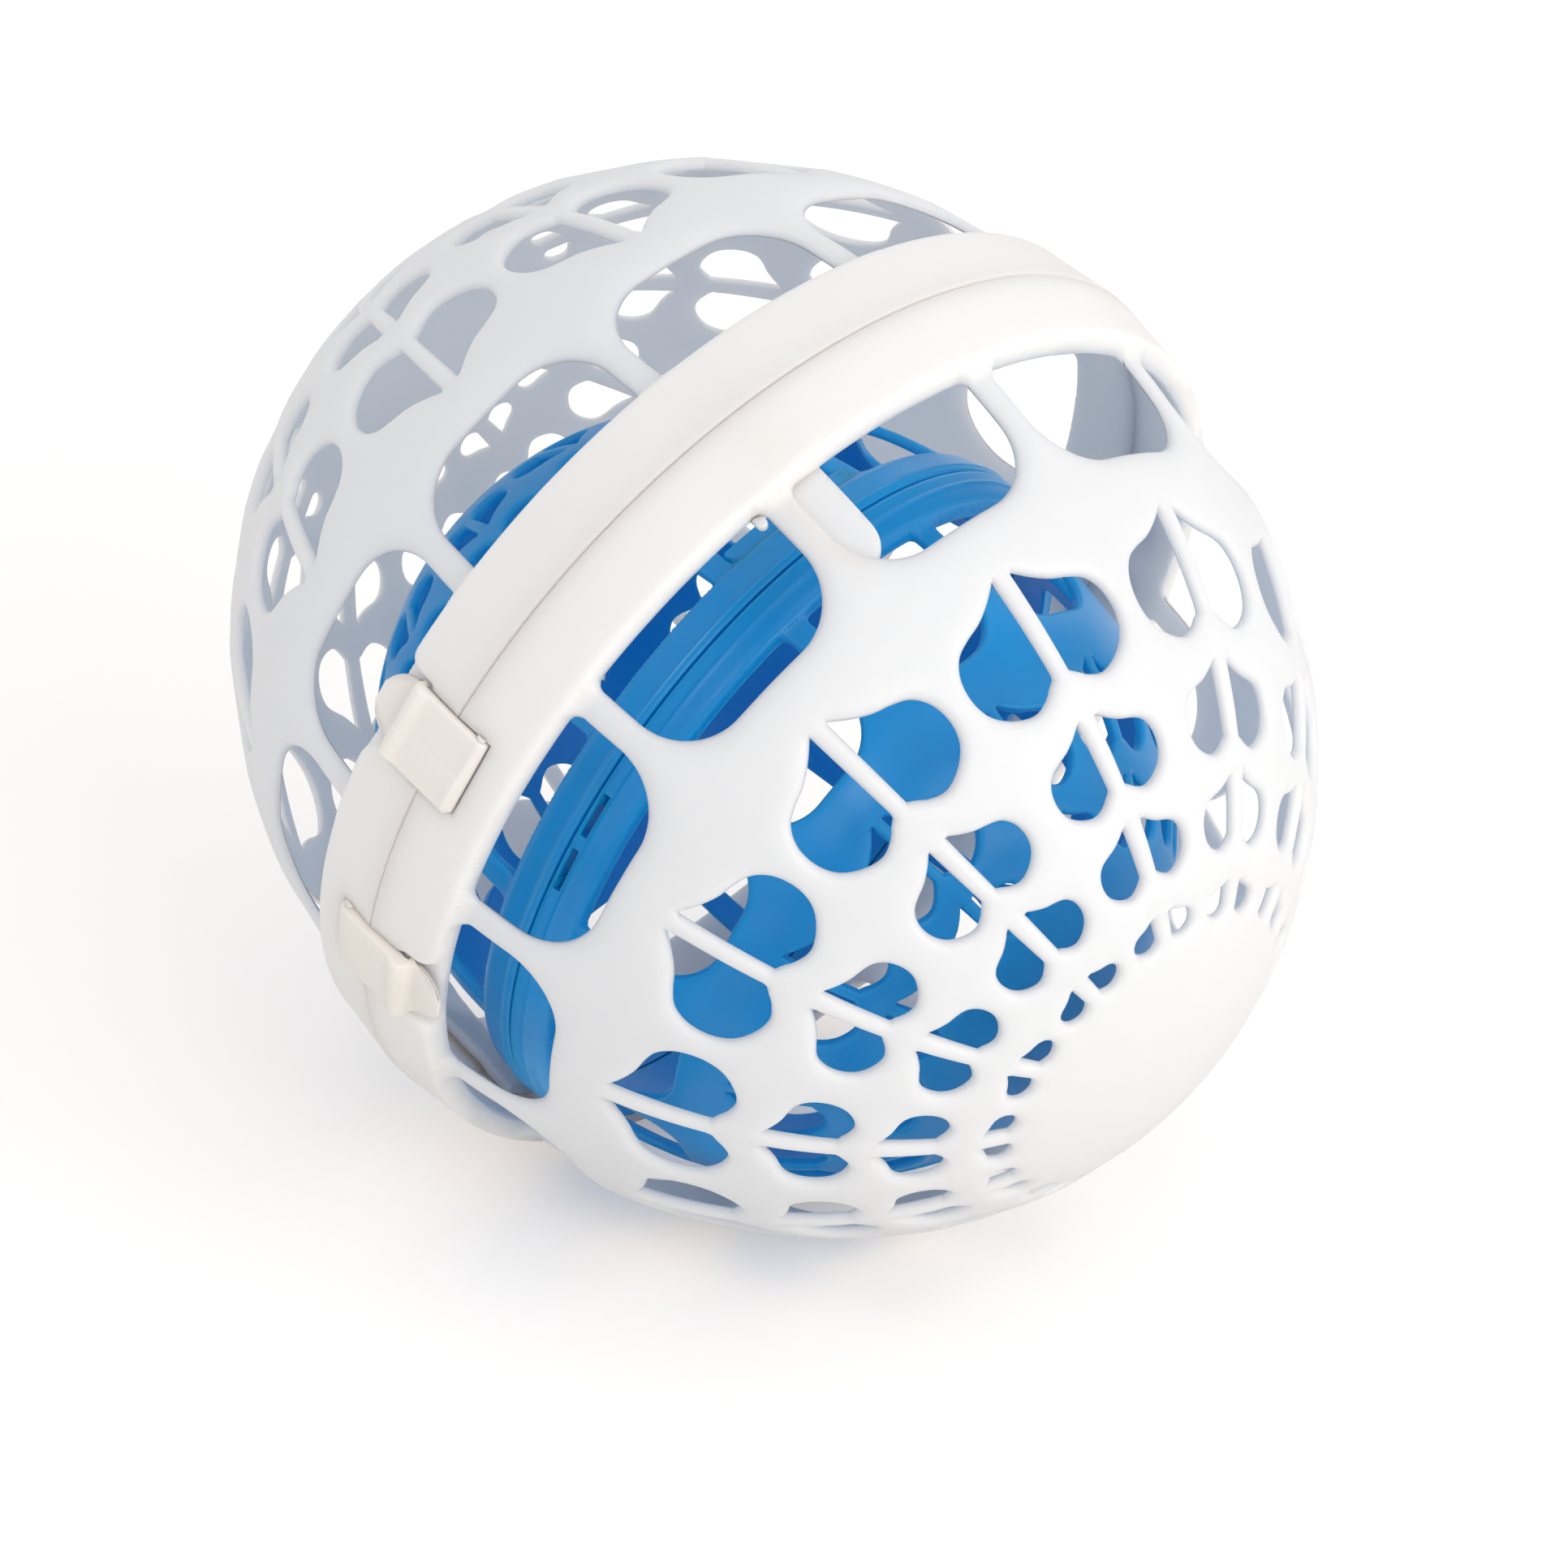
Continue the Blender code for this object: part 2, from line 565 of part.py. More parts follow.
def slots(collection):
    """Two slots through the base half's rim, opposite its hinge."""
    low = PARTING_GAP / 2.0 + SLOT_BAR
    tools = []
    for side in (-0.5, 0.5):
        middle = side * SLOT_SPACING
        tools.append((block("slot", (RIM_RADIUS - RIM_WALL - 2.0 * MM, middle - SLOT_WIDTH / 2.0, low),
                            (RIM_RADIUS + 2.0 * MM, middle + SLOT_WIDTH / 2.0, low + SLOT_HEIGHT),
                            collection, at_angle(math.pi)), "DIFFERENCE"))
    return tools


def hooks(collection):
    """Two snap hooks inside the lid half's rim, whose noses sit in the slots."""
    wall = math.sqrt((RIM_RADIUS - RIM_WALL) ** 2 - (SLOT_SPACING / 2.0 + SLOT_WIDTH / 2.0) ** 2)
    wall -= 0.3 * MM
    low = PARTING_GAP / 2.0 + SLOT_BAR + HOOK_CLEARANCE
    high = PARTING_GAP / 2.0 + SLOT_BAR + SLOT_HEIGHT - HOOK_CLEARANCE
    outer = wall - HOOK_CLEARANCE
    inner = outer - HOOK_WALL
    nose = RIM_RADIUS - RIM_WALL + HOOK_NOSE
    root = RIM_RADIUS - RIM_WALL + 0.8 * MM
    outline = [(inner, -5.0 * MM), (root, -5.0 * MM), (root, -0.6 * MM), (outer, -0.6 * MM), (outer, low),
               (nose, low), (nose - 0.4 * MM, high), (outer, high), (inner + 0.4 * MM, high + 0.8 * MM),
               (inner, high)]
    tools = []
    for side in (-0.5, 0.5):
        frame = at_angle(math.pi) @ Matrix.Translation((0.0, side * SLOT_SPACING, 0.0)) @ side_view(0.0)
        tools.append((prism("hook", outline, SLOT_WIDTH - 2.0 * HOOK_CLEARANCE, collection, frame),
                      "UNION"))
    return tools


def rest_tilt():
    """How far the base's pole points below level when the ball lies on its collar and shell."""
    edge = BAND_EDGE_RADIUS
    height = BAND_HEIGHT - BAND_ROUND
    square = height ** 2 - OUTER_POLE ** 2
    linear = 2.0 * edge * height
    constant = edge ** 2 - OUTER_RADIUS ** 2
    slope = (-linear - math.sqrt(linear ** 2 - 4.0 * square * constant)) / (2.0 * square)
    return math.atan(slope)


def place(name, mesh, parent, matrix, material, collection):
    obj = mesh_object(name, mesh, collection)
    obj.parent = parent
    obj.matrix_local = matrix
    obj.data.materials.clear()
    obj.data.materials.append(material)
    return obj


def corners(objects):
    bpy.context.view_layer.update()
    points = [obj.matrix_world @ vertex.co for obj in objects for vertex in obj.data.vertices]
    low = [min(point[i] for point in points) for i in range(3)]
    high = [max(point[i] for point in points) for i in range(3)]
    return low, high


def build():
    for obj in list(bpy.data.objects):
        bpy.data.objects.remove(obj)
    parts = bpy.data.collections.new("delicates_wash_ball")
    cutters = bpy.data.collections.new("cutters")
    bpy.context.scene.collection.children.link(parts)
    bpy.context.scene.collection.children.link(cutters)

    white = new_material("white_polypropylene", (0.88, 0.87, 0.85), 0.35)
    ivory = new_material("ivory_polypropylene", (0.84, 0.81, 0.76), 0.4)
    blue = new_material("blue_polypropylene", (0.01, 0.19, 0.55), 0.35)
    acetal = new_material("natural_acetal", (0.86, 0.86, 0.84), 0.3)

    ball_axis = bpy.data.objects.new("ball_axis", None)
    parts.objects.link(ball_axis)
    ball_axis.rotation_euler = (math.pi / 2.0 + rest_tilt(), 0.0, 0.0)

    same = Matrix.Identity(4)
    turned_over = Matrix.Rotation(math.pi, 4, "X")
    half = outer_half(cutters)
    objects = [place("outer_base_half", half, ball_axis, same, white, parts),
               place("outer_lid_half", half.copy(), ball_axis, turned_over, white, parts)]

    strap = latch(cutters)
    own = at_angle(math.pi - LATCH_TURN)
    objects.append(place("base_latch", strap, ball_axis, own, ivory, parts))
    objects.append(place("lid_latch", strap.copy(), ball_axis, turned_over @ own, ivory, parts))

    along_pin = Matrix.Rotation(math.pi / 2.0, 4, "X")
    length = 4.0 * KNUCKLE_LENGTH + 3.0 * KNUCKLE_GAP
    pin = baked(cylinder("pin", PIN_RADIUS, length, 16, cutters, along_pin))
    axis_radius = BAND_RADIUS + HINGE_OFFSET
    objects.append(place("outer_hinge_pin", pin, ball_axis, Matrix.Translation((axis_radius, 0.0, 0.0)),
                         acetal, parts))

    inner_axis = bpy.data.objects.new("inner_ball_axis", None)
    parts.objects.link(inner_axis)
    inner_axis.parent = ball_axis
    hollow = (BAND_RADIUS - BAND_WALL) * math.cos(math.pi / BAND_FACETS)
    drop = hollow - REST_CLEARANCE - RIM_RADIUS
    tip = Matrix.Rotation(INNER_TIP_Y, 4, "Y") @ Matrix.Rotation(INNER_TIP_X, 4, "X")
    inner_axis.matrix_local = (Matrix.Translation((INNER_SIDE, -drop, INNER_SINK)) @ tip
                               @ at_angle(INNER_TURN))

    common = inner_half(cutters)
    base_shell = mesh_object("inner_base", common, cutters)
    lid_shell = mesh_object("inner_lid", common.copy(), cutters, turned_over)
    objects.append(place("inner_base_half", combine(base_shell, slots(cutters)), inner_axis, same,
                         blue, parts))
    objects.append(place("inner_lid_half", combine(lid_shell, hooks(cutters)), inner_axis, same,
                         blue, parts))
    inner_length = 4.0 * INNER_KNUCKLE_LENGTH + 3.0 * KNUCKLE_GAP
    inner_pin = baked(cylinder("inner_pin", INNER_PIN_RADIUS, inner_length, 12, cutters, along_pin))
    inner_radius = RIM_RADIUS + INNER_HINGE_OFFSET
    objects.append(place("inner_hinge_pin", inner_pin, inner_axis,
                         Matrix.Translation((inner_radius, 0.0, 0.0)), acetal, parts))

    # The origin is the middle of the surface that the ball lies on
    low, high = corners(objects)
    ball_axis.location = (-(low[0] + high[0]) / 2.0, -(low[1] + high[1]) / 2.0, -low[2])
    bpy.context.view_layer.update()
    for obj in objects:
        obj.data.set_sharp_from_angle(angle=math.radians(30.0))
        print(obj.name, len(obj.data.vertices), sum(len(f.vertices) - 2 for f in obj.data.polygons))


build()
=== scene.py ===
# Delicates wash ball: a white openwork ball in two latched halves with a blue ball lying in it.
# Lengths are millimetres in the ball's own frame: z runs to the base half's pole, x to the outer hinge.
# Each half is drawn once in that frame, and the lid halves are the same drawing turned over.

import json
import math

import bmesh
import bpy
from mathutils import Matrix, Vector
from mathutils.geometry import delaunay_2d_cdt
from mathutils.kdtree import KDTree


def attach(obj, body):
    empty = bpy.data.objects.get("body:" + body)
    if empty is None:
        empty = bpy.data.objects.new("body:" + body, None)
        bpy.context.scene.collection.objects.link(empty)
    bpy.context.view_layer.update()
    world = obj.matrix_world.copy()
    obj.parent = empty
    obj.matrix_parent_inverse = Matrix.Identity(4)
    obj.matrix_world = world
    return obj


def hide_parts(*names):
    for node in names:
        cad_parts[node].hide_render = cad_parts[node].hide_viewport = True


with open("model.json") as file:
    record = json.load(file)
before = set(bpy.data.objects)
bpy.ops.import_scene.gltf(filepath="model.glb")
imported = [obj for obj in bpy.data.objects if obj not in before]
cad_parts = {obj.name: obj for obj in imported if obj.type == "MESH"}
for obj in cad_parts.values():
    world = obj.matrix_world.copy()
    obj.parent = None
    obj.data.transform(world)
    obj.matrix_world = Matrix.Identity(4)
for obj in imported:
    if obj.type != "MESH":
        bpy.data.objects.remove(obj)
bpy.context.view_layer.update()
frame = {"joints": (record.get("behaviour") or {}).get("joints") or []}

mm = 0.001
columnStep = math.radians(30.0)
edgeSearch = 6.0                # no edge further off than this shapes the surface
farAway = 9.0                   # stands for no edge near
weld = 0.002                    # points closer than this are one
tabRings = [0.1, 0.25, 0.6]     # rows of points round the edge of a plate
shellSharp = 48.0               # degrees: edges sharper than this stay crisp
smallSharp = 40.0

outer = {
    "radius": 82.5,
    "pole": 95.1,
    "wall": 2.0,
    "collarFace": 85.4,        # at the parting line
    "collarEdge": 83.9,        # at the far edge
    "collarTop": 13.8,
    "collarRound": 2.0,        # how softly the far edge turns down
    "collarInside": 80.2,
    "foot": 0.9,               # height of the fillet where the struts leave the collar
    "footReach": 2.4,
    "parting": 0.2,
    "ease": 0.5,
    "join": 13.3,              # the collar's strip ends and the openwork begins
    "firstColumn": math.radians(15.0),
    "window": {"low": 13.9, "high": 34.0, "strut": 5.2, "corner": 11.0, "foot": 1.8,
               "dish": 4.6, "depth": 1.0},
    "rows": [(43.4, 18.0, 15.4), (65.2, 10.3, 10.9), (78.0, 6.5, 8.6), (87.1, 2.3, 6.1)],
    "rib": 3.1,
    "heart": {"dish": 2.4, "depth": 0.6},
    "lip": 0.9,
    "innerLip": 0.35,
    "grid": 2.4,
    "outline": 0.85,
    "windowRings": [0.1, 0.2, 0.35, 0.55, 0.95, 1.7, 2.6],
    "heartRings": [0.1, 0.22, 0.42, 0.85, 1.45],
    "strutRows": [13.42, 13.56, 13.7, 13.85, 14.02, 14.25, 14.6, 15.1, 15.7, 16.4],
    "stripRows": [0.2, 0.28, 0.42, 0.65, 2.4, 4.4, 6.4, 8.4, 10.0, 11.0, 11.6, 12.0, 12.35, 12.65,
                  12.9, 13.1, 13.3],
    "stripStep": math.radians(0.625),
}

inner = {
    "radius": 61.0,
    "pole": 69.2,
    "wall": 1.8,
    "collarFace": 63.2,
    "collarEdge": 62.3,
    "collarTop": 7.1,
    "collarRound": 1.7,
    "collarInside": 59.6,
    "foot": 0.3,
    "footReach": 1.0,
    "parting": 0.2,
    "ease": 0.3,
    "join": 6.7,
    "firstColumn": 0.0,
    "window": {"low": 7.3, "high": 28.4, "strut": 4.6, "corner": 9.0, "foot": 1.2,
               "dish": 1.6, "depth": 0.2},
    "rows": [(36.3, 13.3, 11.0), (52.0, 7.2, 7.8)],
    "rib": 2.0,
    "heart": {"dish": 1.2, "depth": 0.15},
    "lip": 0.6,
    "innerLip": 0.3,
    "grid": 2.6,
    "outline": 0.9,
    "windowRings": [0.12, 0.3, 0.6, 1.1],
    "heartRings": [0.12, 0.3, 0.6, 1.1],
    "strutRows": [6.85, 7.0, 7.15, 7.35, 7.7, 8.2],
    "stripRows": [0.2, 0.28, 0.5, 0.8, 1.0, 1.2, 1.35, 1.5, 1.75, 2.3, 2.75, 3.0, 3.25, 4.0, 4.9,
                  5.5, 5.9, 6.2, 6.5, 6.7],
    "stripStep": math.radians(0.625),
    "thin": {"half": 11.0, "top": 3.4, "radius": 61.7},   # the rim's wall, thinner behind the slots
}

# Heart half as shares of its width from the rib and of its length from the tip
heartShape = [(0.0, 0.0), (0.20, 0.12), (0.41, 0.21), (0.62, 0.26), (0.82, 0.33), (0.957, 0.467),
              (1.0, 0.64), (0.948, 0.79), (0.82, 0.894), (0.62, 0.972), (0.414, 1.0), (0.2155, 0.956),
              (0.10, 0.90), (0.0, 0.856)]

# Where the openwork's points keep clear of each other, in millimetres
spread = {
    "side": 0.25,               # of a column's sides, and of the pole
    "join": 0.06,
    "ring": 0.05,
    "strutSpacing": 0.6,
    "strutClear": 0.75,
    "gridShare": 0.8,
    "spot": 0.4,                # between places on a line of the collar
    "spotClear": 0.45,
    "plateShare": 0.4,
}


def smooth(share):
    share = max(0.0, min(1.0, share))
    return share * share * (3.0 - 2.0 * share)


def quarterRound(distance, radius):
    # how far a rounded edge has fallen at a distance in from it
    if distance >= radius:
        return 0.0
    return radius - math.sqrt(max(0.0, radius * radius - (radius - distance) ** 2))


def girth(shape, z):
    return shape["radius"] * math.sqrt(max(0.0, 1.0 - (z / shape["pole"]) ** 2))


def climb(shape, z):
    # surface length for each millimetre of height
    fall = shape["radius"] ** 2 * z / (shape["pole"] ** 2 * max(girth(shape, z), 1.0))
    return math.hypot(1.0, fall)


def flat(shape, angle, z):
    # the pole is the middle of the flat drawing, so the openwork can be triangulated in the plane
    reach = math.acos(max(-1.0, min(1.0, z / shape["pole"])))
    return (reach * math.cos(angle), reach * math.sin(angle))


def unflat(shape, point):
    reach = math.hypot(point[0], point[1])
    return math.atan2(point[1], point[0]), shape["pole"] * math.cos(reach)


def onShell(shape, angle, z):
    around = girth(shape, z)
    return Vector((around * math.cos(angle), around * math.sin(angle), z))


def arcPoints(centre, radii, start, end, steps):
    points = []
    for i in range(steps + 1):
        turn = math.radians(start + (end - start) * i / steps)
        points.append((centre[0] + radii[0] * math.cos(turn), centre[1] + radii[1] * math.sin(turn)))
    return points


def curveThrough(points, steps):
    # a smooth curve through every point, from the first to the last
    ends = [points[0]] + points + [points[-1]]
    curve = []
    for a, b, c, d in zip(ends, ends[1:], ends[2:], ends[3:]):
        for i in range(steps):
            t = i / steps
            spot = []
            for j in range(len(b)):
                spot.append(0.5 * (2.0 * b[j] + (c[j] - a[j]) * t
                                   + (2.0 * a[j] - 5.0 * b[j] + 4.0 * c[j] - d[j]) * t * t
                                   + (3.0 * b[j] - a[j] - 3.0 * c[j] + d[j]) * t ** 3))
            curve.append(tuple(spot))
    return curve + [points[-1]]


def windowOutline(shape):
    window = shape["window"]
    low = window["low"]
    high = window["high"]
    side = columnStep / 2.0 - window["strut"] / 2.0 / girth(shape, low)
    turn = window["corner"] / girth(shape, high - window["corner"] / 2.0)
    small = window["foot"] / girth(shape, low)
    foot = window["foot"]
    outline = arcPoints((side - small, low + foot), (small, foot), -90.0, 0.0, 6)
    outline += arcPoints((side - turn, high - window["corner"]), (turn, window["corner"]), 0.0, 90.0, 16)
    return outline + [(-angle, z) for angle, z in reversed(outline)]


def heartOutlines(shape, row):
    tip, length, halfWidth = row
    around = girth(shape, tip + 0.6 * length)
    edge = shape["rib"] / 2.0 / around
    wide = halfWidth / around
    half = [(edge + a * (wide - edge), tip + h * length) for a, h in curveThrough(heartShape, 6)]
    return [half, [(-angle, z) for angle, z in reversed(half)]]


def evenly(shape, loop, spacing):
    # points the same distance apart round a closed outline
    spans = []
    for a, b in zip(loop, loop[1:] + loop[:1]):
        middle = (a[1] + b[1]) / 2.0
        spans.append(math.hypot((b[0] - a[0]) * girth(shape, middle), (b[1] - a[1]) * climb(shape, middle)))
    total = sum(spans)
    count = max(10, round(total / spacing))
    points = []
    walked = 0.0
    i = 0
    for n in range(count):
        target = total * n / count
        while walked + spans[i] < target:
            walked += spans[i]
            i += 1
        share = (target - walked) / max(spans[i], 1e-9)
        a = loop[i]
        b = loop[(i + 1) % len(loop)]
        points.append((a[0] + (b[0] - a[0]) * share, a[1] + (b[1] - a[1]) * share))
    return points


def movedOut(shape, loop, distance):
    # the outline moved away from its opening, along the surface
    moved = []
    for before, here, after in zip(loop[-1:] + loop[:-1], loop, loop[1:] + loop[:1]):
        around = girth(shape, here[1])
        rise = climb(shape, here[1])
        across = (after[0] - before[0]) * around
        along = (after[1] - before[1]) * rise
        size = math.hypot(across, along)
        moved.append((here[0] + along / size * distance / around, here[1] - across / size * distance / rise))
    return moved


def treeOf(points):
    tree = KDTree(len(points))
    for i, point in enumerate(points):
        tree.insert(point, i)
    tree.balance()
    return tree


class Openwork:
    # one column of a half, triangulated in the plane with its openings left out
    def __init__(self, shape):
        self.shape = shape
        openings = [(windowOutline(shape), shape["window"], shape["windowRings"])]
        for row in shape["rows"]:
            for outline in heartOutlines(shape, row):
                openings.append((outline, shape["heart"], shape["heartRings"]))
        self.loops = [evenly(shape, outline, shape["outline"]) for outline, _, _ in openings]
        self.edges = []
        for loop, (outline, look, _) in zip(self.loops, openings):
            fine = evenly(shape, outline, shape["outline"] / 3.0)
            for turn in (0.0, -columnStep, columnStep):
                self.edges.append((treeOf([onShell(shape, a + turn, z) for a, z in fine]), look))
        self.points = []
        self.known = []
        self.triangulate(openings)

    def distances(self, angle, z, own=None, ownDistance=0.0):
        place = onShell(self.shape, angle, z)
        found = []
        for i, (tree, look) in enumerate(self.edges):
            distance = ownDistance if i == own else tree.find(place)[2]
            if distance < edgeSearch:
                found.append((distance, look, i))
        return found

    def add(self, angle, z, own=None, ownDistance=0.0):
        self.points.append(flat(self.shape, angle, z))
        self.known.append((own, ownDistance))
        return len(self.points) - 1

    def triangulate(self, openings):
        shape = self.shape
        half = columnStep / 2.0
        sideHeights = [shape["join"]] + shape["strutRows"]
        z = sideHeights[-1]
        while z < shape["pole"] - spread["side"]:
            z += shape["grid"] / climb(shape, z)
            if z < shape["pole"] - spread["side"]:
                sideHeights.append(z)
        footCount = round(columnStep / shape["stripStep"])
        border = [self.add(-half + columnStep * i / footCount, shape["join"]) for i in range(footCount + 1)]
        border += [self.add(half, z) for z in sideHeights[1:]]
        border.append(self.add(0.0, shape["pole"]))
        border += [self.add(-half, z) for z in reversed(sideHeights[1:])]
        regions = [border]
        for i, loop in enumerate(self.loops):
            regions.append([self.add(angle, z, 3 * i, 0.0) for angle, z in loop])
        for i, (loop, (_, _, rings)) in enumerate(zip(self.loops, openings)):
            for ring in rings:
                for angle, z in movedOut(shape, loop, ring):
                    beside = abs(angle) > half - spread["side"] / girth(shape, z)
                    if beside or z < shape["join"] + spread["join"]:
                        continue
                    others = [d for d, _, j in self.distances(angle, z) if j != 3 * i]
                    if others and min(others) < ring + spread["ring"]:
                        continue
                    self.add(angle, z, 3 * i, ring)
        for row, z in enumerate(sideHeights[1:]):
            spacing = shape["grid"]
            clear = shape["grid"] * spread["gridShare"]
            if row < len(shape["strutRows"]):
                spacing = spread["strutSpacing"]
                clear = spread["strutClear"]
            count = max(1, round(columnStep * girth(shape, z) / spacing))
            for n in range(1, count):
                angle = -half + columnStep * n / count
                near = min([d for d, _, _ in self.distances(angle, z)] + [farAway])
                if near > clear:
                    self.add(angle, z)
        found = delaunay_2d_cdt(self.points, [], regions, 1, 1e-7)
        self.faces = [list(face) for face, region in zip(found[2], found[5]) if list(region) == [0]]
        self.corners = []
        for point, origins in zip(found[0], found[3]):
            angle, z = unflat(shape, point)
            own, ownDistance = (None, 0.0)
            for origin in origins:
                if self.known[origin][0] is not None:
                    own, ownDistance = self.known[origin]
            drop, lift = self.edgeShape(angle, z, own, ownDistance)
            self.corners.append((angle, z, drop, lift))

    def edgeShape(self, angle, z, own=None, ownDistance=0.0):
        # how far the outer surface sinks at a place, and how far the inner one rises
        drop = 0.0
        nearest = farAway
        offCollar = smooth((z - self.shape["join"]) / self.shape["footReach"])
        for distance, look, _ in self.distances(angle, z, own, ownDistance):
            nearest = min(nearest, distance)
            if distance < look["dish"]:
                drop += look["depth"] * (1.0 - distance / look["dish"]) ** 2 * offCollar
        drop += quarterRound(nearest, self.shape["lip"])
        return drop, quarterRound(nearest, self.shape["innerLip"])

    def inStrip(self, angle, z):
        # the same for a place on the collar's strip, which isn't cut into columns
        if z < self.shape["join"] - self.shape["lip"]:
            return 0.0, 0.0
        half = columnStep / 2.0
        return self.edgeShape((angle - self.shape["firstColumn"] + half) % columnStep - half, z)


def collarShape(shape, z, edgeDistance, foot):
    # how far the collar stands out of the shell
    low = girth(shape, z)
    taper = (z - shape["parting"]) / (shape["collarTop"] - shape["collarRound"] - shape["parting"])
    face = shape["collarFace"] + (shape["collarEdge"] - shape["collarFace"]) * taper
    high = face - low
    inside = max(0.0, min(1.0, edgeDistance / shape["collarRound"]))
    height = high * math.sqrt(1.0 - (1.0 - inside) ** 2)
    fillet = max(0.0, 1.0 - abs(edgeDistance) / shape["footReach"]) ** 2 * foot
    return height + fillet - quarterRound(z - shape["parting"] + 0.03, shape["ease"])


def outerPlace(shape, angle, z, drop, relief):
    around = girth(shape, z)
    normal = Vector((math.cos(angle) * around / shape["radius"] ** 2,
                     math.sin(angle) * around / shape["radius"] ** 2, z / shape["pole"] ** 2)).normalized()
    place = onShell(shape, angle, z) - normal * drop
    if z < shape["collarTop"] + shape["footReach"]:
        height = relief(angle, z)
        place += Vector((math.cos(angle), math.sin(angle), 0.0)) * height
    return place


def insideRadius(shape, angle, z):
    thin = shape.get("thin")
    if thin and z < thin["top"] and abs(angle - math.pi) * shape["collarInside"] < thin["half"]:
        return thin["radius"]
    return shape["collarInside"]


def innerPlace(shape, angle, z, lift):
    reach = math.acos(max(-1.0, min(1.0, z / shape["pole"])))
    around = (shape["radius"] - shape["wall"]) * math.sin(reach)
    up = (shape["pole"] - shape["wall"]) * math.cos(reach)
    normal = Vector((math.cos(angle) * math.sin(reach), math.sin(angle) * math.sin(reach), math.cos(reach)))
    if z <= shape["join"] + 0.001:
        around = min(around, insideRadius(shape, angle, z))
    place = Vector((around * math.cos(angle), around * math.sin(angle), up))
    return place + normal * lift


def addSheet(bm, layer, shape, corners, faces, turn, relief):
    made = []
    for angle, z, drop, lift in corners:
        vert = bm.verts.new(outerPlace(shape, angle + turn, z, drop, relief))
        vert[layer] = innerPlace(shape, angle + turn, z, lift)
        made.append(vert)
    for face in faces:
        bm.faces.new([made[i] for i in face])


def addStrip(bm, layer, shape, column, lines, holes, relief):
    # the collar, unrolled: lines are outlines to follow, as (angle, z), and holes go right through
    size = shape["collarFace"]
    step = shape["stripStep"]
    count = round(2.0 * math.pi / step)
    low = shape["parting"]
    high = shape["join"]
    points = []
    regions = []
    edges = []

    def addPoint(angle, z):
        points.append((angle * size, z))
        return len(points) - 1

    bottom = {i * step for i in range(count + 1)}
    for line in lines:
        for angle, z in (line[0], line[-1]):
            if abs(z - low) < 1e-6:
                bottom.add(angle)
    loop = [addPoint(angle, low) for angle in sorted(bottom)]
    loop += [addPoint(2.0 * math.pi, z) for z in shape["stripRows"][1:-1]]
    loop += [addPoint(i * step, high) for i in range(count, -1, -1)]
    loop += [addPoint(0.0, z) for z in reversed(shape["stripRows"][1:-1])]
    regions.append(loop)
    spots = []
    for hole in holes:
        regions.append([addPoint(angle, z) for angle, z in hole])
        spots += [(angle * size, z) for angle, z in hole]
    for line in lines:
        ids = [addPoint(angle, z) for angle, z in line]
        edges += list(zip(ids, ids[1:]))
        for a, b in zip(line, line[1:]):
            span = math.hypot((b[0] - a[0]) * size, b[1] - a[1])
            pieces = max(1, round(span / spread["spot"]))
            for n in range(pieces + 1):
                spots.append(((a[0] + (b[0] - a[0]) * n / pieces) * size, a[1] + (b[1] - a[1]) * n / pieces))
    near = treeOf([Vector((x, y, 0.0)) for x, y in spots]) if spots else None
    for z in shape["stripRows"][1:-1]:
        for i in range(1, count):
            if near and near.find(Vector((i * step * size, z, 0.0)))[2] < spread["spotClear"]:
                continue
            addPoint(i * step, z)
    found = delaunay_2d_cdt(points, edges, regions, 1, 1e-6)
    corners = [(x / size, z) + column.inStrip(x / size, z) for x, z in found[0]]
    faces = [list(face) for face, region in zip(found[2], found[5]) if list(region) == [0]]
    addSheet(bm, layer, shape, corners, faces, 0.0, relief)


def closedShell(bm, layer):
    # joins the outer surface to the inner one along every edge of an opening
    bmesh.ops.remove_doubles(bm, verts=bm.verts, dist=weld)
    loose = [vert for vert in bm.verts if not vert.link_faces]
    bmesh.ops.delete(bm, geom=loose, context="VERTS")
    bm.verts.index_update()
    verts = [vert.co.copy() for vert in bm.verts]
    count = len(verts)
    verts += [vert[layer].copy() for vert in bm.verts]
    faces = []
    for face in bm.faces:
        ids = [vert.index for vert in face.verts]
        faces.append(ids)
        faces.append([i + count for i in reversed(ids)])
    for edge in bm.edges:
        if len(edge.link_loops) == 1:
            loop = edge.link_loops[0]
            a = loop.vert.index
            b = loop.link_loop_next.vert.index
            faces.append([b, a, a + count, b + count])
    return verts, faces


def lofted(outline, stations):
    # an outline repeated at several depths, each with its own inset, and closed at both ends
    verts = []
    faces = []
    size = len(outline)
    for depth, inset in stations:
        for before, here, after in zip(outline[-1:] + outline[:-1], outline, outline[1:] + outline[:1]):
            back = Vector((here[0] - before[0], here[1] - before[1])).normalized()
            ahead = Vector((after[0] - here[0], after[1] - here[1])).normalized()
            along = back + ahead
            if along.length < 1e-6:
                along = ahead
            along.normalize()
            stretch = 1.0 / max(0.5, abs(along.dot(ahead)))
            shift = inset * stretch
            verts.append(Vector((here[0] - along.y * shift, here[1] + along.x * shift, depth)))
    for level in range(len(stations) - 1):
        for i in range(size):
            j = (i + 1) % size
            low = level * size
            faces.append([low + i, low + j, low + size + j, low + size + i])
    faces.append(list(range(size - 1, -1, -1)))
    faces.append([(len(stations) - 1) * size + i for i in range(size)])
    return verts, faces


def roundedStations(half, rounding):
    stations = []
    for turn in (90.0, 60.0, 30.0, 0.0):
        depth = half - rounding + rounding * math.sin(math.radians(turn))
        stations.append((depth, rounding * (1.0 - math.cos(math.radians(turn)))))
    mirrored = [(-depth, inset) for depth, inset in stations]
    return mirrored + list(reversed(stations))


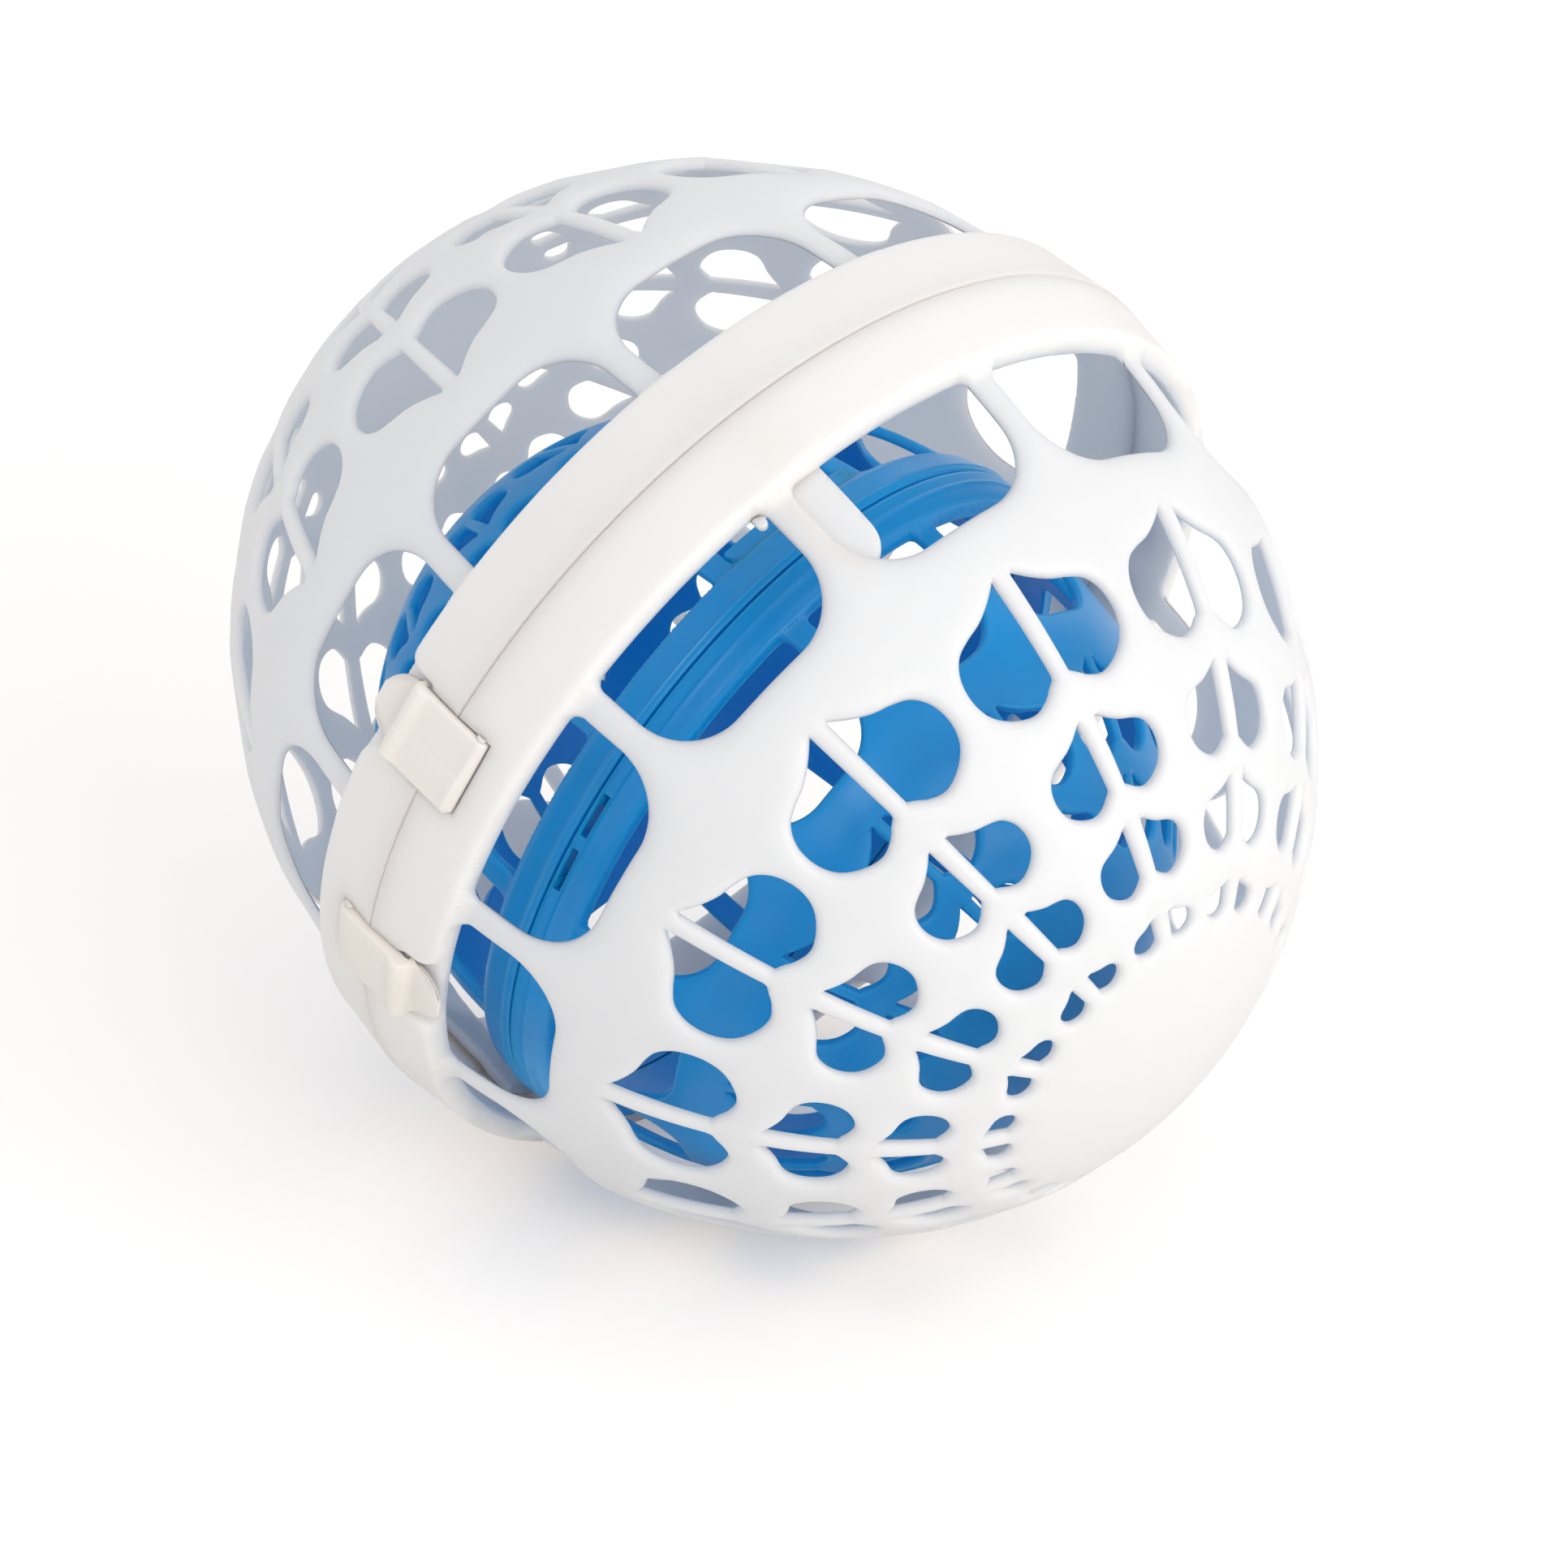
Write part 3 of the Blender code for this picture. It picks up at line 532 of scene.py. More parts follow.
def joined(parts):
    verts = []
    faces = []
    for partVerts, partFaces in parts:
        start = len(verts)
        verts += partVerts
        faces += [[i + start for i in face] for face in partFaces]
    return verts, faces


def moved(part, matrix):
    verts, faces = part
    turned = matrix.determinant() < 0.0
    return [matrix @ vert for vert in verts], [list(reversed(face)) if turned else face for face in faces]


def sideView(angle):
    # drawn as (outwards, along the axis), with its depth along the collar
    return Matrix.Rotation(angle, 4, "Z") @ Matrix(((1, 0, 0, 0), (0, 0, -1, 0), (0, 1, 0, 0), (0, 0, 0, 1)))


def makePiece(name, part, place, material, sharp):
    verts, faces = part
    mesh = bpy.data.meshes.new(name)
    mesh.from_pydata([(place @ vert) * mm for vert in verts], [], faces)
    mesh.validate()
    for polygon in mesh.polygons:
        polygon.use_smooth = True
    mesh.set_sharp_from_angle(angle=math.radians(sharp))
    mesh.materials.append(material)
    obj = bpy.data.objects.new(name, mesh)
    bpy.context.scene.collection.objects.link(obj)
    return obj


# The ball's frame, from the outer hinge
hinges = {joint["name"]: joint for joint in frame["joints"]}
hingeReach = 88.9
outerHinge = hinges["lid_hinge"]
ballX = Vector((1.0, 0.0, 0.0))
ballY = -Vector(outerHinge["axis"]).normalized()
ballZ = ballX.cross(ballY)
ballMiddle = Vector(outerHinge["pos_m"]) / mm - ballX * hingeReach
ballFrame = Matrix.Translation(ballMiddle) @ Matrix((ballX, ballY, ballZ)).transposed().to_4x4()
turnedOver = Matrix.Rotation(math.pi, 4, "X")

# The inner ball lies turned and tipped in the outer one
innerRest = {"turn": -19.0, "tipX": -1.4, "tipY": 6.3, "hingeReach": 65.8}
innerHinge = hinges["inner_lid_hinge"]
innerTurn = (Matrix.Rotation(math.radians(innerRest["tipY"]), 4, "Y")
             @ Matrix.Rotation(math.radians(innerRest["tipX"]), 4, "X")
             @ Matrix.Rotation(math.radians(innerRest["turn"]), 4, "Z"))
innerAxes = ballFrame.to_3x3().to_4x4() @ innerTurn
innerMiddle = Vector(innerHinge["pos_m"]) / mm - innerAxes @ Vector((innerRest["hingeReach"], 0.0, 0.0))
innerFrame = Matrix.Translation(innerMiddle) @ innerAxes
print("frames found", [round(x, 2) for x in ballMiddle], [round(x, 2) for x in innerMiddle])


# Latch, pockets and notch, shared by both outer halves
latch = {
    "turn": math.radians(15.0),
    "radius": 84.5,
    "pocket": 7.0,              # half width
    "floor": 83.45,
    "seat": 82.45,
    "seatLow": 3.45,
    "seatHigh": 7.15,
    "ledge": 7.8,               # width of collar left where the twin's latch hooks on
    "roundAway": 3.4,
    "roundTwin": 5.4,
    "wall": 0.04,
    "ease": 0.3,
    "easeShare": 0.6,
}


def alongCollar(angle, centre):
    turn = (angle - centre + math.pi) % (2.0 * math.pi) - math.pi
    return turn * latch["radius"]


def notchDistance(s, z):
    # how far inside the collar's edge a place is, where the notch for the twin's hook is cut
    top = outer["collarTop"] - z
    beside = abs(s) - latch["pocket"]
    below = latch["ledge"] - z
    if beside < 0.0:
        return min(top, below) if below > 0.0 else -min(-below, -beside)
    if below > 0.0:
        return min(top, math.hypot(beside, below))
    corner = latch["roundAway"] if s > 0.0 else latch["roundTwin"]
    if beside < corner and top < corner:
        return corner - math.hypot(corner - beside, corner - top)
    return min(beside, top)


def outerRelief(angle, z):
    shell = girth(outer, z)
    catch = alongCollar(angle, math.pi + latch["turn"])
    own = alongCollar(angle, math.pi - latch["turn"])
    foot = outer["foot"] * smooth(abs(catch) - latch["pocket"])
    radius = shell + collarShape(outer, z, notchDistance(catch, z), foot)
    inside = min(latch["pocket"] - abs(own), latch["seatHigh"] - z)
    floor = latch["floor"]
    if z > latch["seatLow"]:
        floor -= (floor - latch["seat"]) * min(1.0, (z - latch["seatLow"]) / latch["wall"])
    radius = inPocket(radius, inside, floor)
    inside = min(latch["pocket"] - abs(catch), latch["ledge"] + 1.0 - z)
    if z < latch["ledge"] + 1.0:
        radius = inPocket(radius, inside, latch["floor"])
    return radius - shell


def inPocket(radius, inside, floor):
    if inside < 0.0:
        return radius - quarterRound(-inside, latch["ease"]) * latch["easeShare"]
    share = min(1.0, inside / latch["wall"])
    eased = radius - latch["ease"] * latch["easeShare"]
    return eased + (min(floor, eased) - eased) * share


def collarLines():
    lines = []
    low = outer["parting"]
    own = math.pi - latch["turn"]
    catch = math.pi + latch["turn"]
    half = latch["pocket"]
    for out in (latch["ease"], 0.12, 0.0, -latch["wall"]):
        side = (half + out) / latch["radius"]
        top = latch["seatHigh"] + out
        lines.append([(own - side, low), (own - side, top), (own + side, top), (own + side, low)])
        for way in (-1.0, 1.0):
            lines.append([(catch + way * side, low), (catch + way * side, latch["ledge"])])
    side = (half - latch["wall"]) / latch["radius"]
    for z in (latch["seatLow"], latch["seatLow"] + latch["wall"]):
        lines.append([(own - side, z), (own + side, z)])
    for inside in (0.0, 0.08, 0.25, 0.55, 1.0, 1.5, 2.0):
        line = notchLine(inside)
        line = [(s, z) for s, z in line if z < outer["join"] - 0.12]
        lines.append([(catch + s / latch["radius"], z) for s, z in line])
    return lines


def notchLine(inside):
    half = latch["pocket"]
    top = outer["collarTop"]
    ledge = latch["ledge"]
    away = latch["roundAway"]
    twin = latch["roundTwin"]
    line = arcPoints((half + away, top - away), (away - inside, away - inside), 90.0, 180.0, 14)
    line += arcPoints((half, ledge), (inside, inside), 0.0, -90.0, 4)
    line += arcPoints((-half, ledge), (inside, inside), -90.0, -180.0, 4)
    return line + arcPoints((-half - twin, top - twin), (twin - inside, twin - inside), 0.0, 90.0, 18)


def bead(z, middle, half, height):
    return height * smooth(1.0 - abs(z - middle) / half)


rim = {
    "slotWidth": 8.0,
    "slotLow": 1.0,
    "slotHigh": 2.2,
    "slotCorner": 0.2,
    "slotSpacing": 10.4,
}
# Parting edge of each half's rim: the lid's is stepped down behind a fine lip, the base's is chamfered
baseRim = {"easeTo": 0.9, "easeDepth": 0.35, "lipAt": 3.0, "lipHalf": 0.3, "lipHeight": 0.16}
lidRim = {"easeTo": 1.35, "easeDepth": 0.4, "lipAt": 1.5, "lipHalf": 0.3, "lipHeight": 0.2}


def rimRelief(edge):
    def relief(angle, z):
        height = collarShape(inner, z, inner["collarTop"] - z, inner["foot"])
        height -= edge["easeDepth"] * smooth((edge["easeTo"] - z) / edge["easeTo"])
        return height + bead(z, edge["lipAt"], edge["lipHalf"], edge["lipHeight"])
    return relief


def slotHoles():
    holes = []
    for side in (-0.5, 0.5):
        middle = math.pi + side * rim["slotSpacing"] / inner["collarFace"]
        half = rim["slotWidth"] / 2.0 / inner["collarFace"]
        corner = rim["slotCorner"]
        wide = corner / inner["collarFace"]
        hole = []
        low = rim["slotLow"] + corner
        high = rim["slotHigh"] - corner
        for way, z, turn in ((1, low, -90.0), (1, high, 0.0), (-1, high, 90.0), (-1, low, 180.0)):
            hole += arcPoints((middle + way * (half - wide), z), (wide, corner), turn, turn + 90.0, 3)
        holes.append(hole)
    return holes


def halfShell(shape, relief, lines, holes):
    bm = bmesh.new()
    layer = bm.verts.layers.float_vector.new("inside")
    column = Openwork(shape)
    count = round(2.0 * math.pi / columnStep)
    for i in range(count):
        turn = shape["firstColumn"] + i * columnStep
        addSheet(bm, layer, shape, column.corners, column.faces, turn, relief)
    addStrip(bm, layer, shape, column, lines, holes, relief)
    part = closedShell(bm, layer)
    bm.free()
    return part


# Tongue that lines up the halves, inside the collar of its own half and reaching into the other
tongueSizes = {
    "turn": math.radians(-116.8),
    "width": 10.2,
    "reach": 30.3,
    "root": 6.0,
    "wall": 1.8,
    "behind": 0.3,              # inside its own collar
    "clearance": 0.5,           # further in, once it reaches into the other
    "rounding": 0.6,
    "grid": 1.6,
}


def plate(outline, insets, spacing, place):
    # a flat outline filled with points; place says where a point lies on the front and on the back
    points = []
    depths = []
    size = len(outline)
    for inset in [0.0] + insets:
        for before, here, after in zip(outline[-1:] + outline[:-1], outline, outline[1:] + outline[:1]):
            along = Vector((after[0] - before[0], after[1] - before[1])).normalized()
            points.append((here[0] - along.y * inset, here[1] + along.x * inset))
            depths.append(inset)
    edge = treeOf([Vector((x, y, 0.0)) for x, y in outline])
    xs = [x for x, _ in outline]
    ys = [y for _, y in outline]
    columns = math.ceil((max(xs) - min(xs)) / spacing)
    rows = math.ceil((max(ys) - min(ys)) / spacing)
    for i in range(1, columns):
        for j in range(1, rows):
            x = min(xs) + (max(xs) - min(xs)) * i / columns
            y = min(ys) + (max(ys) - min(ys)) * j / rows
            if edge.find(Vector((x, y, 0.0)))[2] > insets[-1] + spread["plateShare"] * spacing:
                points.append((x, y))
                depths.append(farAway)
    found = delaunay_2d_cdt(points, [], [list(range(size))], 1, 1e-7)
    bm = bmesh.new()
    layer = bm.verts.layers.float_vector.new("inside")
    made = []
    for point, origins in zip(found[0], found[3]):
        depth = depths[origins[0]] if origins else farAway
        vert = bm.verts.new(place(point[0], point[1], depth, 1.0))
        vert[layer] = place(point[0], point[1], depth, -1.0)
        made.append(vert)
    for face, region in zip(found[2], found[5]):
        if list(region) == [0]:
            bm.faces.new([made[i] for i in face])
    part = closedShell(bm, layer)
    bm.free()
    return part


def tongue():
    sizes = tongueSizes
    inside = outer["collarInside"]
    half = sizes["width"] / 2.0
    straight = half - sizes["reach"]
    outline = [(x, sizes["root"]) for x in (half, half / 2.0, 0.0, -half / 2.0, -half)]
    outline += [(-half, sizes["root"] + (straight - sizes["root"]) * i / 12.0) for i in range(1, 12)]
    outline += arcPoints((0.0, straight), (half, half), 180.0, 360.0, 24)
    outline += [(half, straight + (sizes["root"] - straight) * i / 12.0) for i in range(1, 12)]

    def place(x, z, inset, side):
        share = z / (outer["pole"] - outer["wall"])
        hollow = (outer["radius"] - outer["wall"]) * math.sqrt(1.0 - share ** 2)
        front = min(inside - sizes["behind"], hollow) - sizes["clearance"] * smooth(0.5 - z / 2.0)
        middle = front - sizes["wall"] / 2.0
        drop = quarterRound(inset, sizes["rounding"])
        radius = middle + side * (sizes["wall"] / 2.0 - drop)
        return Vector((radius * math.cos(x / inside), radius * math.sin(x / inside), z))

    part = plate(outline, tabRings, sizes["grid"], place)
    return moved(part, Matrix.Rotation(sizes["turn"], 4, "Z"))


# Small peg that guides the tongue of the other half past the collar's inner edge
peg = {"turn": math.radians(122.8), "radius": 79.7, "half": 0.9, "wall": 1.5, "low": 9.0, "high": 16.0,
       "rounding": 0.3}


def guidePeg():
    half = peg["half"]
    top = peg["high"] - half
    outline = arcPoints((0.0, top), (half, half), 0.0, 180.0, 12) + [(-half, peg["low"]), (half, peg["low"])]
    part = lofted(outline, roundedStations(peg["wall"] / 2.0, peg["rounding"]))
    faceOn = Matrix(((0, 0, 1, 0), (1, 0, 0, 0), (0, 1, 0, 0), (0, 0, 0, 1)))
    outwards = Matrix.Translation((peg["radius"], 0.0, 0.0))
    return moved(part, Matrix.Rotation(peg["turn"], 4, "Z") @ outwards @ faceOn)


# Broad tab on the inner lid's rim, beside its windows, on the side that shows through the collar
rimTab = {"from": math.radians(-133.0), "to": math.radians(-105.2), "low": 5.5, "high": 10.2, "wall": 1.8,
          "corner": 1.0, "proud": 0.25, "rounding": 0.6, "grid": 1.6}


def broadTab():
    middle = (rimTab["from"] + rimTab["to"]) / 2.0
    half = (rimTab["to"] - rimTab["from"]) / 2.0 * inner["radius"]
    low = rimTab["low"]
    high = rimTab["high"]
    corner = rimTab["corner"]
    outline = arcPoints((-half + corner, high - corner), (corner, corner), 90.0, 180.0, 4)
    outline += [(-half, low)] + [(half * i / 10.0, low) for i in range(-9, 10)] + [(half, low)]
    outline += arcPoints((half - corner, high - corner), (corner, corner), 0.0, 90.0, 4)
    outline += [(-half * i / 10.0, high) for i in range(-9, 10)]

    def place(x, z, inset, side):
        radius = girth(inner, z) + rimTab["proud"] - (1.0 - side) / 2.0 * rimTab["wall"]
        radius -= side * quarterRound(inset, rimTab["rounding"])
        angle = middle + x / inner["radius"]
        return Vector((radius * math.cos(angle), radius * math.sin(angle), z))

    return plate(outline, tabRings, rimTab["grid"], place)


# Hinge knuckles: two on each half, one either side of its twin's
outerKnuckle = {"axis": 88.9, "radius": 3.1, "length": 7.2, "gap": 0.4, "root": 82.5, "height": 8.0,
                "pin": 1.5}
innerKnuckle = {"axis": 65.8, "radius": 2.3, "length": 5.6, "gap": 0.4, "root": 61.0, "height": 5.5,
                "pin": 1.0}
knuckleStart = 0.3              # the arm starts this far from the parting line
knuckleRounding = 0.4
pinChamfer = 0.3


def knuckles(sizes):
    start = knuckleStart
    radius = sizes["radius"]
    first = 180.0 - math.degrees(math.asin(start / radius))
    outline = [(sizes["root"], sizes["height"]), (sizes["root"], start)]
    outline += arcPoints((sizes["axis"], 0.0), (radius, radius), first, 450.0, 32)
    gap = sizes["gap"]
    length = sizes["length"]
    parts = []
    for low in (-gap / 2.0 - length, gap * 1.5 + length):
        part = lofted(outline, roundedStations(length / 2.0, knuckleRounding))
        middle = Matrix.Translation((0.0, low + length / 2.0, 0.0))
        parts.append(moved(part, middle @ sideView(0.0)))
    return joined(parts)


def pinRod(sizes):
    half = 2.0 * sizes["length"] + 1.5 * sizes["gap"]
    profile = arcPoints((0.0, 0.0), (sizes["pin"], sizes["pin"]), 0.0, 352.5, 47)
    straight = half - pinChamfer
    part = lofted(profile, [(-half, pinChamfer), (-straight, 0.0), (straight, 0.0), (half, pinChamfer)])
    onAxis = Matrix.Translation((sizes["axis"], 0.0, 0.0))
    return moved(part, onAxis @ Matrix.Rotation(math.pi / 2.0, 4, "X"))


# Latch strap in its own half's frame, drawn as (outwards, along the axis): the barrel is at z 5.3
strap = {
    "width": 13.4,
    "face": 85.8,
    "under": 83.8,
    "pivot": (84.3, 5.3),
    "barrel": 1.5,
    "nose": [(83.7, -8.15), (82.7, -8.2), (82.55, -9.2), (82.5, -10.4)],
    "tabUnder": [(82.45, -11.4), (82.45, -13.0), (82.55, -14.6), (82.7, -15.3), (83.1, -15.4),
                 (83.4, -15.2)],
    "tabOver": [(83.45, -14.4), (83.35, -12.8), (83.35, -11.0), (83.45, -10.1)],
    "rolledEnd": [(83.8, -9.55), (84.7, -9.35), (85.7, -9.0), (86.3, -8.3), (86.5, -7.5), (86.3, -6.6),
                  (85.95, -5.8), (85.8, -5.2)],
    "step": 0.22,
    "stepPath": [(-7.3, -1.3), (-2.5, -0.65), (2.6, -0.5)],   # places along the axis and across the strap
    "stepAbove": 85.0,
    "stepFrom": -9.0,
    "stepTo": 6.0,
    "stepHalf": 0.06,
    "rounding": 0.55,
    "tabFrom": -9.3,
    "tabRadius": 6.1,
    "tabBlunt": 0.15,
    "stub": 0.8,
    "stubLength": 0.45,
}


def strapOutline():
    face = strap["face"]
    under = strap["under"]
    outline = arcPoints(strap["pivot"], (strap["barrel"], strap["barrel"]), 0.0, 199.0, 16)
    outline += [(under, 3.6), (under, -2.0), (under, -7.7)]
    outline += curveThrough(strap["nose"], 4)
    outline += curveThrough(strap["tabUnder"], 4)
    outline += curveThrough(strap["tabOver"] + strap["rolledEnd"], 5)
    outline += [(face, -4.0), (face, 0.0), (face, 3.0)]
    return outline


def stepPlace(z):
    # where across the strap its moulded step runs
    path = strap["stepPath"]
    for (lowZ, lowX), (highZ, highX) in zip(path, path[1:]):
        if z <= highZ:
            return lowX + (highX - lowX) * smooth((z - lowZ) / (highZ - lowZ))
    return path[-1][1]


def latchStrap():
    half = strap["width"] / 2.0
    stations = roundedStations(half, strap["rounding"])
    beside = len(stations) // 2
    middle = [(-strap["stepHalf"], 0.0), (strap["stepHalf"], 0.0)]
    stations = stations[:beside] + middle + stations[beside:]
    verts, faces = lofted(strapOutline(), stations)
    shaped = []
    for u, z, x in verts:
        higher = x < 0.0 and u > strap["stepAbove"] and strap["stepFrom"] < z < strap["stepTo"]
        if abs(x) < 2.0 * strap["stepHalf"]:
            x += stepPlace(z)
        if z < strap["tabFrom"]:
            share = (strap["tabFrom"] - z) / (strap["tabRadius"] + strap["tabBlunt"])
            x *= strap["tabRadius"] / half * math.sqrt(max(0.02, 1.0 - share * share))
        shaped.append(Vector((u + strap["step"] if higher else u, z, x)))
    stub = arcPoints((0.0, 0.0), (strap["stub"], strap["stub"]), 0.0, 345.0, 23)
    reach = half + strap["stubLength"]
    rod = lofted(stub, [(-reach, 0.0), (reach, 0.0)])
    rod = moved(rod, Matrix.Translation((strap["pivot"][0], strap["pivot"][1], 0.0)))
    return moved(joined([(shaped, faces), rod]), sideView(0.0))


# Snap hooks of the inner lid half, drawn like the latch; their noses stand in the base half's slots
snap = {"outer": 58.6, "wall": 1.4, "nose": 62.4, "root": 60.4, "low": 1.05, "high": 1.35, "bottom": -5.0,
        "bend": -0.6, "point": 0.4, "lead": 0.8, "width": 2.0, "rounding": 0.2, "aside": 2.7}


def snapHooks():
    inside = snap["outer"] - snap["wall"]
    outline = [(inside, snap["high"]), (inside, snap["bottom"]), (snap["root"], snap["bottom"]),
               (snap["root"], snap["bend"]), (snap["outer"], snap["bend"]), (snap["outer"], snap["low"]),
               (snap["nose"], snap["low"]), (snap["nose"] - snap["point"], snap["high"]),
               (snap["outer"], snap["high"]), (inside + snap["point"], snap["high"] + snap["lead"])]
    parts = []
    for side in (-1.0, 1.0):
        part = lofted(outline, roundedStations(snap["width"] / 2.0, snap["rounding"]))
        beside = Matrix.Translation((0.0, side * (rim["slotSpacing"] / 2.0 + snap["aside"]), 0.0))
        parts.append(moved(part, Matrix.Rotation(math.pi, 4, "Z") @ beside @ sideView(0.0)))
    return joined(parts)


def linear(hexColour):
    # sRGB hex to the linear colour that the shader takes
    values = [int(hexColour[i:i + 2], 16) / 255.0 for i in (1, 3, 5)]
    return [v / 12.92 if v <= 0.04045 else ((v + 0.055) / 1.055) ** 2.4 for v in values] + [1.0]


def addNode(tree, kind, settings, links):
    node = tree.nodes.new(kind)
    for key, value in settings.items():
        if isinstance(key, str) and hasattr(node, key):
            setattr(node, key, value)
        else:
            node.inputs[key].default_value = value
    for key, socket in links.items():
        tree.links.new(socket, node.inputs[key])
    return node


glossSpread = 0.05              # how much a surface's roughness varies to each side
grainDepth = 0.1                # share of the grain's size


def perMetre(millimetres):
    return 1.0 / (millimetres * mm)


def mouldedPlastic(name, look):
    # a moulded part's colour drifts a little as the melt flows, and its mould leaves a faint even grain
    material = bpy.data.materials.new(name)
    material.use_nodes = True
    tree = material.node_tree
    shader = tree.nodes["Principled BSDF"]
    shader.inputs["IOR"].default_value = look["ior"]
    shader.inputs["Subsurface Weight"].default_value = look["glow"]
    shader.inputs["Subsurface Radius"].default_value = (1.0, 1.0, 1.0)
    shader.inputs["Subsurface Scale"].default_value = look["glowDepth"] * mm
    place = addNode(tree, "ShaderNodeTexCoord", {}, {}).outputs["Object"]
    flow = addNode(tree, "ShaderNodeTexNoise", {"Scale": perMetre(look["flow"]), "Detail": 2.0},
                   {"Vector": place})
    colour = addNode(tree, "ShaderNodeMix", {"data_type": "RGBA", 6: linear(look["colour"]),
                                             7: linear(look["drift"])}, {0: flow.outputs["Fac"]})
    tree.links.new(colour.outputs[2], shader.inputs["Base Color"])
    grain = addNode(tree, "ShaderNodeTexNoise", {"Scale": perMetre(look["grain"]), "Detail": 3.0},
                    {"Vector": place})
    gloss = addNode(tree, "ShaderNodeMapRange", {"To Min": look["roughness"] - glossSpread,
                                                 "To Max": look["roughness"] + glossSpread},
                    {"Value": grain.outputs["Fac"]})
    tree.links.new(gloss.outputs["Result"], shader.inputs["Roughness"])
    bump = addNode(tree, "ShaderNodeBump", {"Strength": look["bump"],
                                            "Distance": look["grain"] * mm * grainDepth},
                   {"Height": grain.outputs["Fac"]})
    tree.links.new(bump.outputs["Normal"], shader.inputs["Normal"])
    return material


# Polypropylene, injection moulded: a soft satin white that shows broad, mild highlights
whiteLook = {"colour": "#FCF4EF", "drift": "#FAF1EB", "roughness": 0.4, "ior": 1.49, "flow": 40.0,
             "grain": 0.9, "bump": 0.1, "glow": 1.0, "glowDepth": 5.5}
# Polypropylene again, of a batch a shade warmer, which sets the latches off from the collar
ivoryLook = {"colour": "#F9F3EC", "drift": "#F6EFE7", "roughness": 0.42, "ior": 1.49, "flow": 25.0,
             "grain": 0.9, "bump": 0.12, "glow": 0.4, "glowDepth": 2.0}
# Blue polypropylene: the pigment deepens in the shade and its satin surface catches pale streaks
blueLook = {"colour": "#02AAF2", "drift": "#02A2EC", "roughness": 0.32, "ior": 1.49, "flow": 30.0,
            "grain": 0.8, "bump": 0.08, "glow": 0.5, "glowDepth": 3.0}
# Acetal rod, turned: denser and a little shinier than the mouldings
acetalLook = {"colour": "#ECEAE4", "drift": "#E7E4DD", "roughness": 0.25, "ior": 1.48, "flow": 8.0,
              "grain": 0.6, "bump": 0.08, "glow": 0.2, "glowDepth": 1.0}

whitePolypropylene = mouldedPlastic("whitePolypropylene", whiteLook)
ivoryPolypropylene = mouldedPlastic("ivoryPolypropylene", ivoryLook)
bluePolypropylene = mouldedPlastic("bluePolypropylene", blueLook)
naturalAcetal = mouldedPlastic("naturalAcetal", acetalLook)

outerShell = halfShell(outer, outerRelief, collarLines(), [])
outerHalf = joined([outerShell, tongue(), guidePeg(), knuckles(outerKnuckle)])
print("outer half drawn", len(outerHalf[0]), "points")
outerBase = makePiece("outerBaseShell", outerHalf, ballFrame, whitePolypropylene, shellSharp)
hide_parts("outer_base_half")
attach(outerBase, "base")
outerTwin = moved(outerHalf, turnedOver)
outerLid = makePiece("outerLidShell", outerTwin, ballFrame, whitePolypropylene, shellSharp)
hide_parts("outer_lid_half")
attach(outerLid, "lid")

strapPart = moved(latchStrap(), Matrix.Rotation(math.pi - latch["turn"], 4, "Z"))
baseLatch = makePiece("baseLatchStrap", strapPart, ballFrame, ivoryPolypropylene, smallSharp)
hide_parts("base_latch")
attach(baseLatch, "base_latch")
strapTwin = moved(strapPart, turnedOver)
lidLatch = makePiece("lidLatchStrap", strapTwin, ballFrame, ivoryPolypropylene, smallSharp)
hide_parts("lid_latch")
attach(lidLatch, "lid_latch")
print("latches drawn")

innerParts = knuckles(innerKnuckle)
innerBasePart = joined([halfShell(inner, rimRelief(baseRim), [], slotHoles()), innerParts])
innerLidPart = joined([halfShell(inner, rimRelief(lidRim), [], []), broadTab(), innerParts])
innerLidPart = joined([moved(innerLidPart, turnedOver), snapHooks()])
innerBase = makePiece("innerBaseShell", innerBasePart, innerFrame, bluePolypropylene, shellSharp)
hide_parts("inner_base_half")
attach(innerBase, "inner_base")
innerLid = makePiece("innerLidShell", innerLidPart, innerFrame, bluePolypropylene, shellSharp)
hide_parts("inner_lid_half")
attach(innerLid, "inner_lid")
print("inner ball drawn", len(innerBasePart[0]), "points a half")

outerPin = makePiece("outerHingeRod", pinRod(outerKnuckle), ballFrame, naturalAcetal, smallSharp)
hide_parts("outer_hinge_pin")
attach(outerPin, "base")
innerPin = makePiece("innerHingeRod", pinRod(innerKnuckle), innerFrame, naturalAcetal, smallSharp)
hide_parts("inner_hinge_pin")
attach(innerPin, "inner_base")
print("pins drawn")


# Floor: plain white paper sweep, with the photograph's white seen by the camera and the ball's shadow kept
floorLook = {"size": 8.0, "colour": "#F6F4F1", "lift": 0.25}


